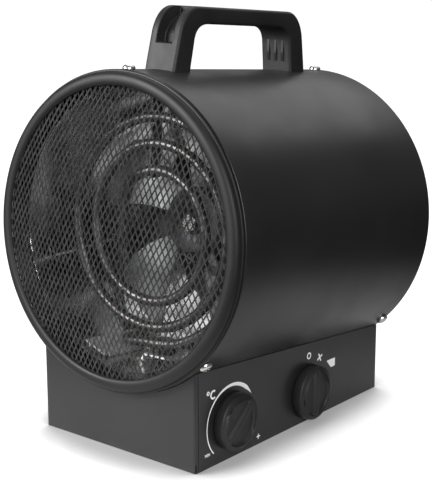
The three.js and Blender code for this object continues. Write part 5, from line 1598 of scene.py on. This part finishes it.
# ---------------------------------------------------------------- studio
@dataclass
class Studio:
    """Floor, soft lights and the photograph's camera."""

    lens: float = 96.63
    position: Triple = (0.5680, -0.6983, 0.3410)
    azimuth_deg: float = 39.215
    elevation_deg: float = 13.602
    roll_deg: float = -0.026
    ambient: float = 0.12
    sheet_inner: float = 0.16
    sheet_outer: float = 0.38
    paper: float = 0.86
    room: float = 0.02
    paper_seen: float = 0.3
    # Reach and darkest tone of the painted contact shadow round the heater's foot.
    painted_shadow_reach: float = 0.05
    painted_shadow_tone: float = 0.22
    shift_px: Pair = (-1.8, -2.3)
    photo_px: int = 486
    floor_half: float = 12.0
    aim: Triple = (0.0, 0.0, 0.13)
    lights: tuple[tuple[str, Triple, Pair, float], ...] = (
        ("key", (-0.95, -1.45, 0.8), (1.0, 0.9), 47.0),
        ("overhead", (-0.2, 0.75, 1.35), (1.6, 1.9), 12.0),
        ("front", (1.35, -1.15, 0.9), (0.9, 0.9), 26.0),
    )

    def build(self) -> None:
        """Sets up the studio."""
        self.camera()
        self.floor()
        for name, at, size, power in self.lights:
            self.light(name, at, size, power)
        world = bpy.data.worlds.new("studio")
        world.use_nodes = True
        n = Nodes(world.node_tree)
        seen = n.add("ShaderNodeLightPath").outputs["Is Camera Ray"]
        strength = n.ramp(seen, 0.0, 1.0, self.ambient, 1.0)
        n.feed(world.node_tree.nodes["Background"], {"Color": (1.0, 1.0, 1.0, 1), "Strength": strength})
        bpy.context.scene.world = world
        bpy.context.scene.view_settings.view_transform = "Standard"

    def camera(self) -> None:
        """The camera at the photograph's place."""
        data = bpy.data.cameras.new("camera")
        data.lens, data.sensor_width = self.lens, 36.0
        data.shift_x, data.shift_y = (shift / self.photo_px for shift in self.shift_px)
        data.clip_start, data.clip_end = 0.05, 50
        camera = in_scene("camera", data)
        a, e = math.radians(self.azimuth_deg), math.radians(self.elevation_deg)
        back = Vector((math.sin(a) * math.cos(e), -math.cos(a) * math.cos(e), math.sin(e)))
        turn = back.to_track_quat("Z", "Y").to_matrix() @ Matrix.Rotation(math.radians(self.roll_deg), 3, "Z")
        camera.matrix_world = Matrix.Translation(self.position) @ turn.to_4x4()
        bpy.context.scene.camera = camera

    def floor(self) -> None:
        """A plain pale floor: bright paper round the heater, and for reflections a dark room beyond it. To the camera
        it glows white, with a painted contact shadow where the heater stands close over it.
        """
        mesh, half = bpy.data.meshes.new("floor"), self.floor_half
        mesh.from_pydata([(x, y, 0) for x, y in box(-half, -half, half, half)], [], [(0, 1, 2, 3)])
        made, n = new_material("pale_floor")
        paper, room, paper_seen = ((tone, tone, tone, 1) for tone in (self.paper, self.room, self.paper_seen))
        away = n.length(n.add("ShaderNodeTexCoord").outputs["Object"])
        lit = n.mix(n.ramp(away, self.sheet_inner, self.sheet_outer), paper, room)
        seen = n.add("ShaderNodeLightPath").outputs["Is Camera Ray"]
        # Painted contact shadow: the glow the camera sees dims where ambient occlusion finds the heater close by.
        painted_shadow_ao = n.add("ShaderNodeAmbientOcclusion", {"Distance": self.painted_shadow_reach}).outputs["AO"]
        glow_with_painted_shadow = n.math("MULTIPLY", seen, n.ramp(painted_shadow_ao, 0.5, 1.0, self.painted_shadow_tone, 1.0))
        n.feed(made.node_tree.nodes["Principled BSDF"], {
            "Base Color": n.mix(seen, lit, paper_seen), "Emission Strength": glow_with_painted_shadow,
            "Roughness": 0.7, "Specular IOR Level": 0.2, "Emission Color": (1, 1, 1, 1),
        })
        mesh.materials.append(made)
        in_scene("floor", mesh)

    def light(self, name: str, at: Triple, size: Pair, power: float) -> None:
        """A soft light that faces the heater.

        Args:
            name: Its name.
            at: Where it hangs.
            size: Its width and height.
            power: Its power in watts.
        """
        data = bpy.data.lights.new(name, "AREA")
        data.shape, data.size, data.size_y, data.energy = "RECTANGLE", *size, power
        lamp = in_scene(name, data)
        lamp.location = at
        lamp.rotation_euler = (Vector(at) - Vector(self.aim)).to_track_quat("Z", "Y").to_euler()


def dress_cad_nodes() -> None:
    """Gives every CAD node the finish of its slot, but the element combs the dark element finish as painted shade."""
    slots = {row["node"]: Slot(row["material_slot"]) for row in frame["record"]["subparts"]}
    for name, node in frame["nodes"].items():
        # The zinc coated combs take the dark element finish in place of their own: painted shade, as they stand in
        # shadow.
        slot = Slot.ELEMENT if name.startswith("element_comb") else slots[name]
        node.data.materials.clear()
        node.data.materials.append(MATERIALS[slot])


def main() -> None:
    """Builds the heater and its studio."""
    logging.basicConfig(level=logging.INFO, format="%(name)s %(message)s")
    Studio().build()
    dress_cad_nodes()
    Drum().build()
    OutletMesh().build()
    Screws().build()
    HotEnd().build()
    FanAndMotor().build()
    Handle().build()
    Base().build()
    Knob("thermostat_knob", Body.THERMOSTAT, -71.8, 26.8, -51.0).build()
    Knob("switch_knob", Body.SWITCH, 13.8, 22.3, 0.0).build()


if __name__ == "__main__":
    main()
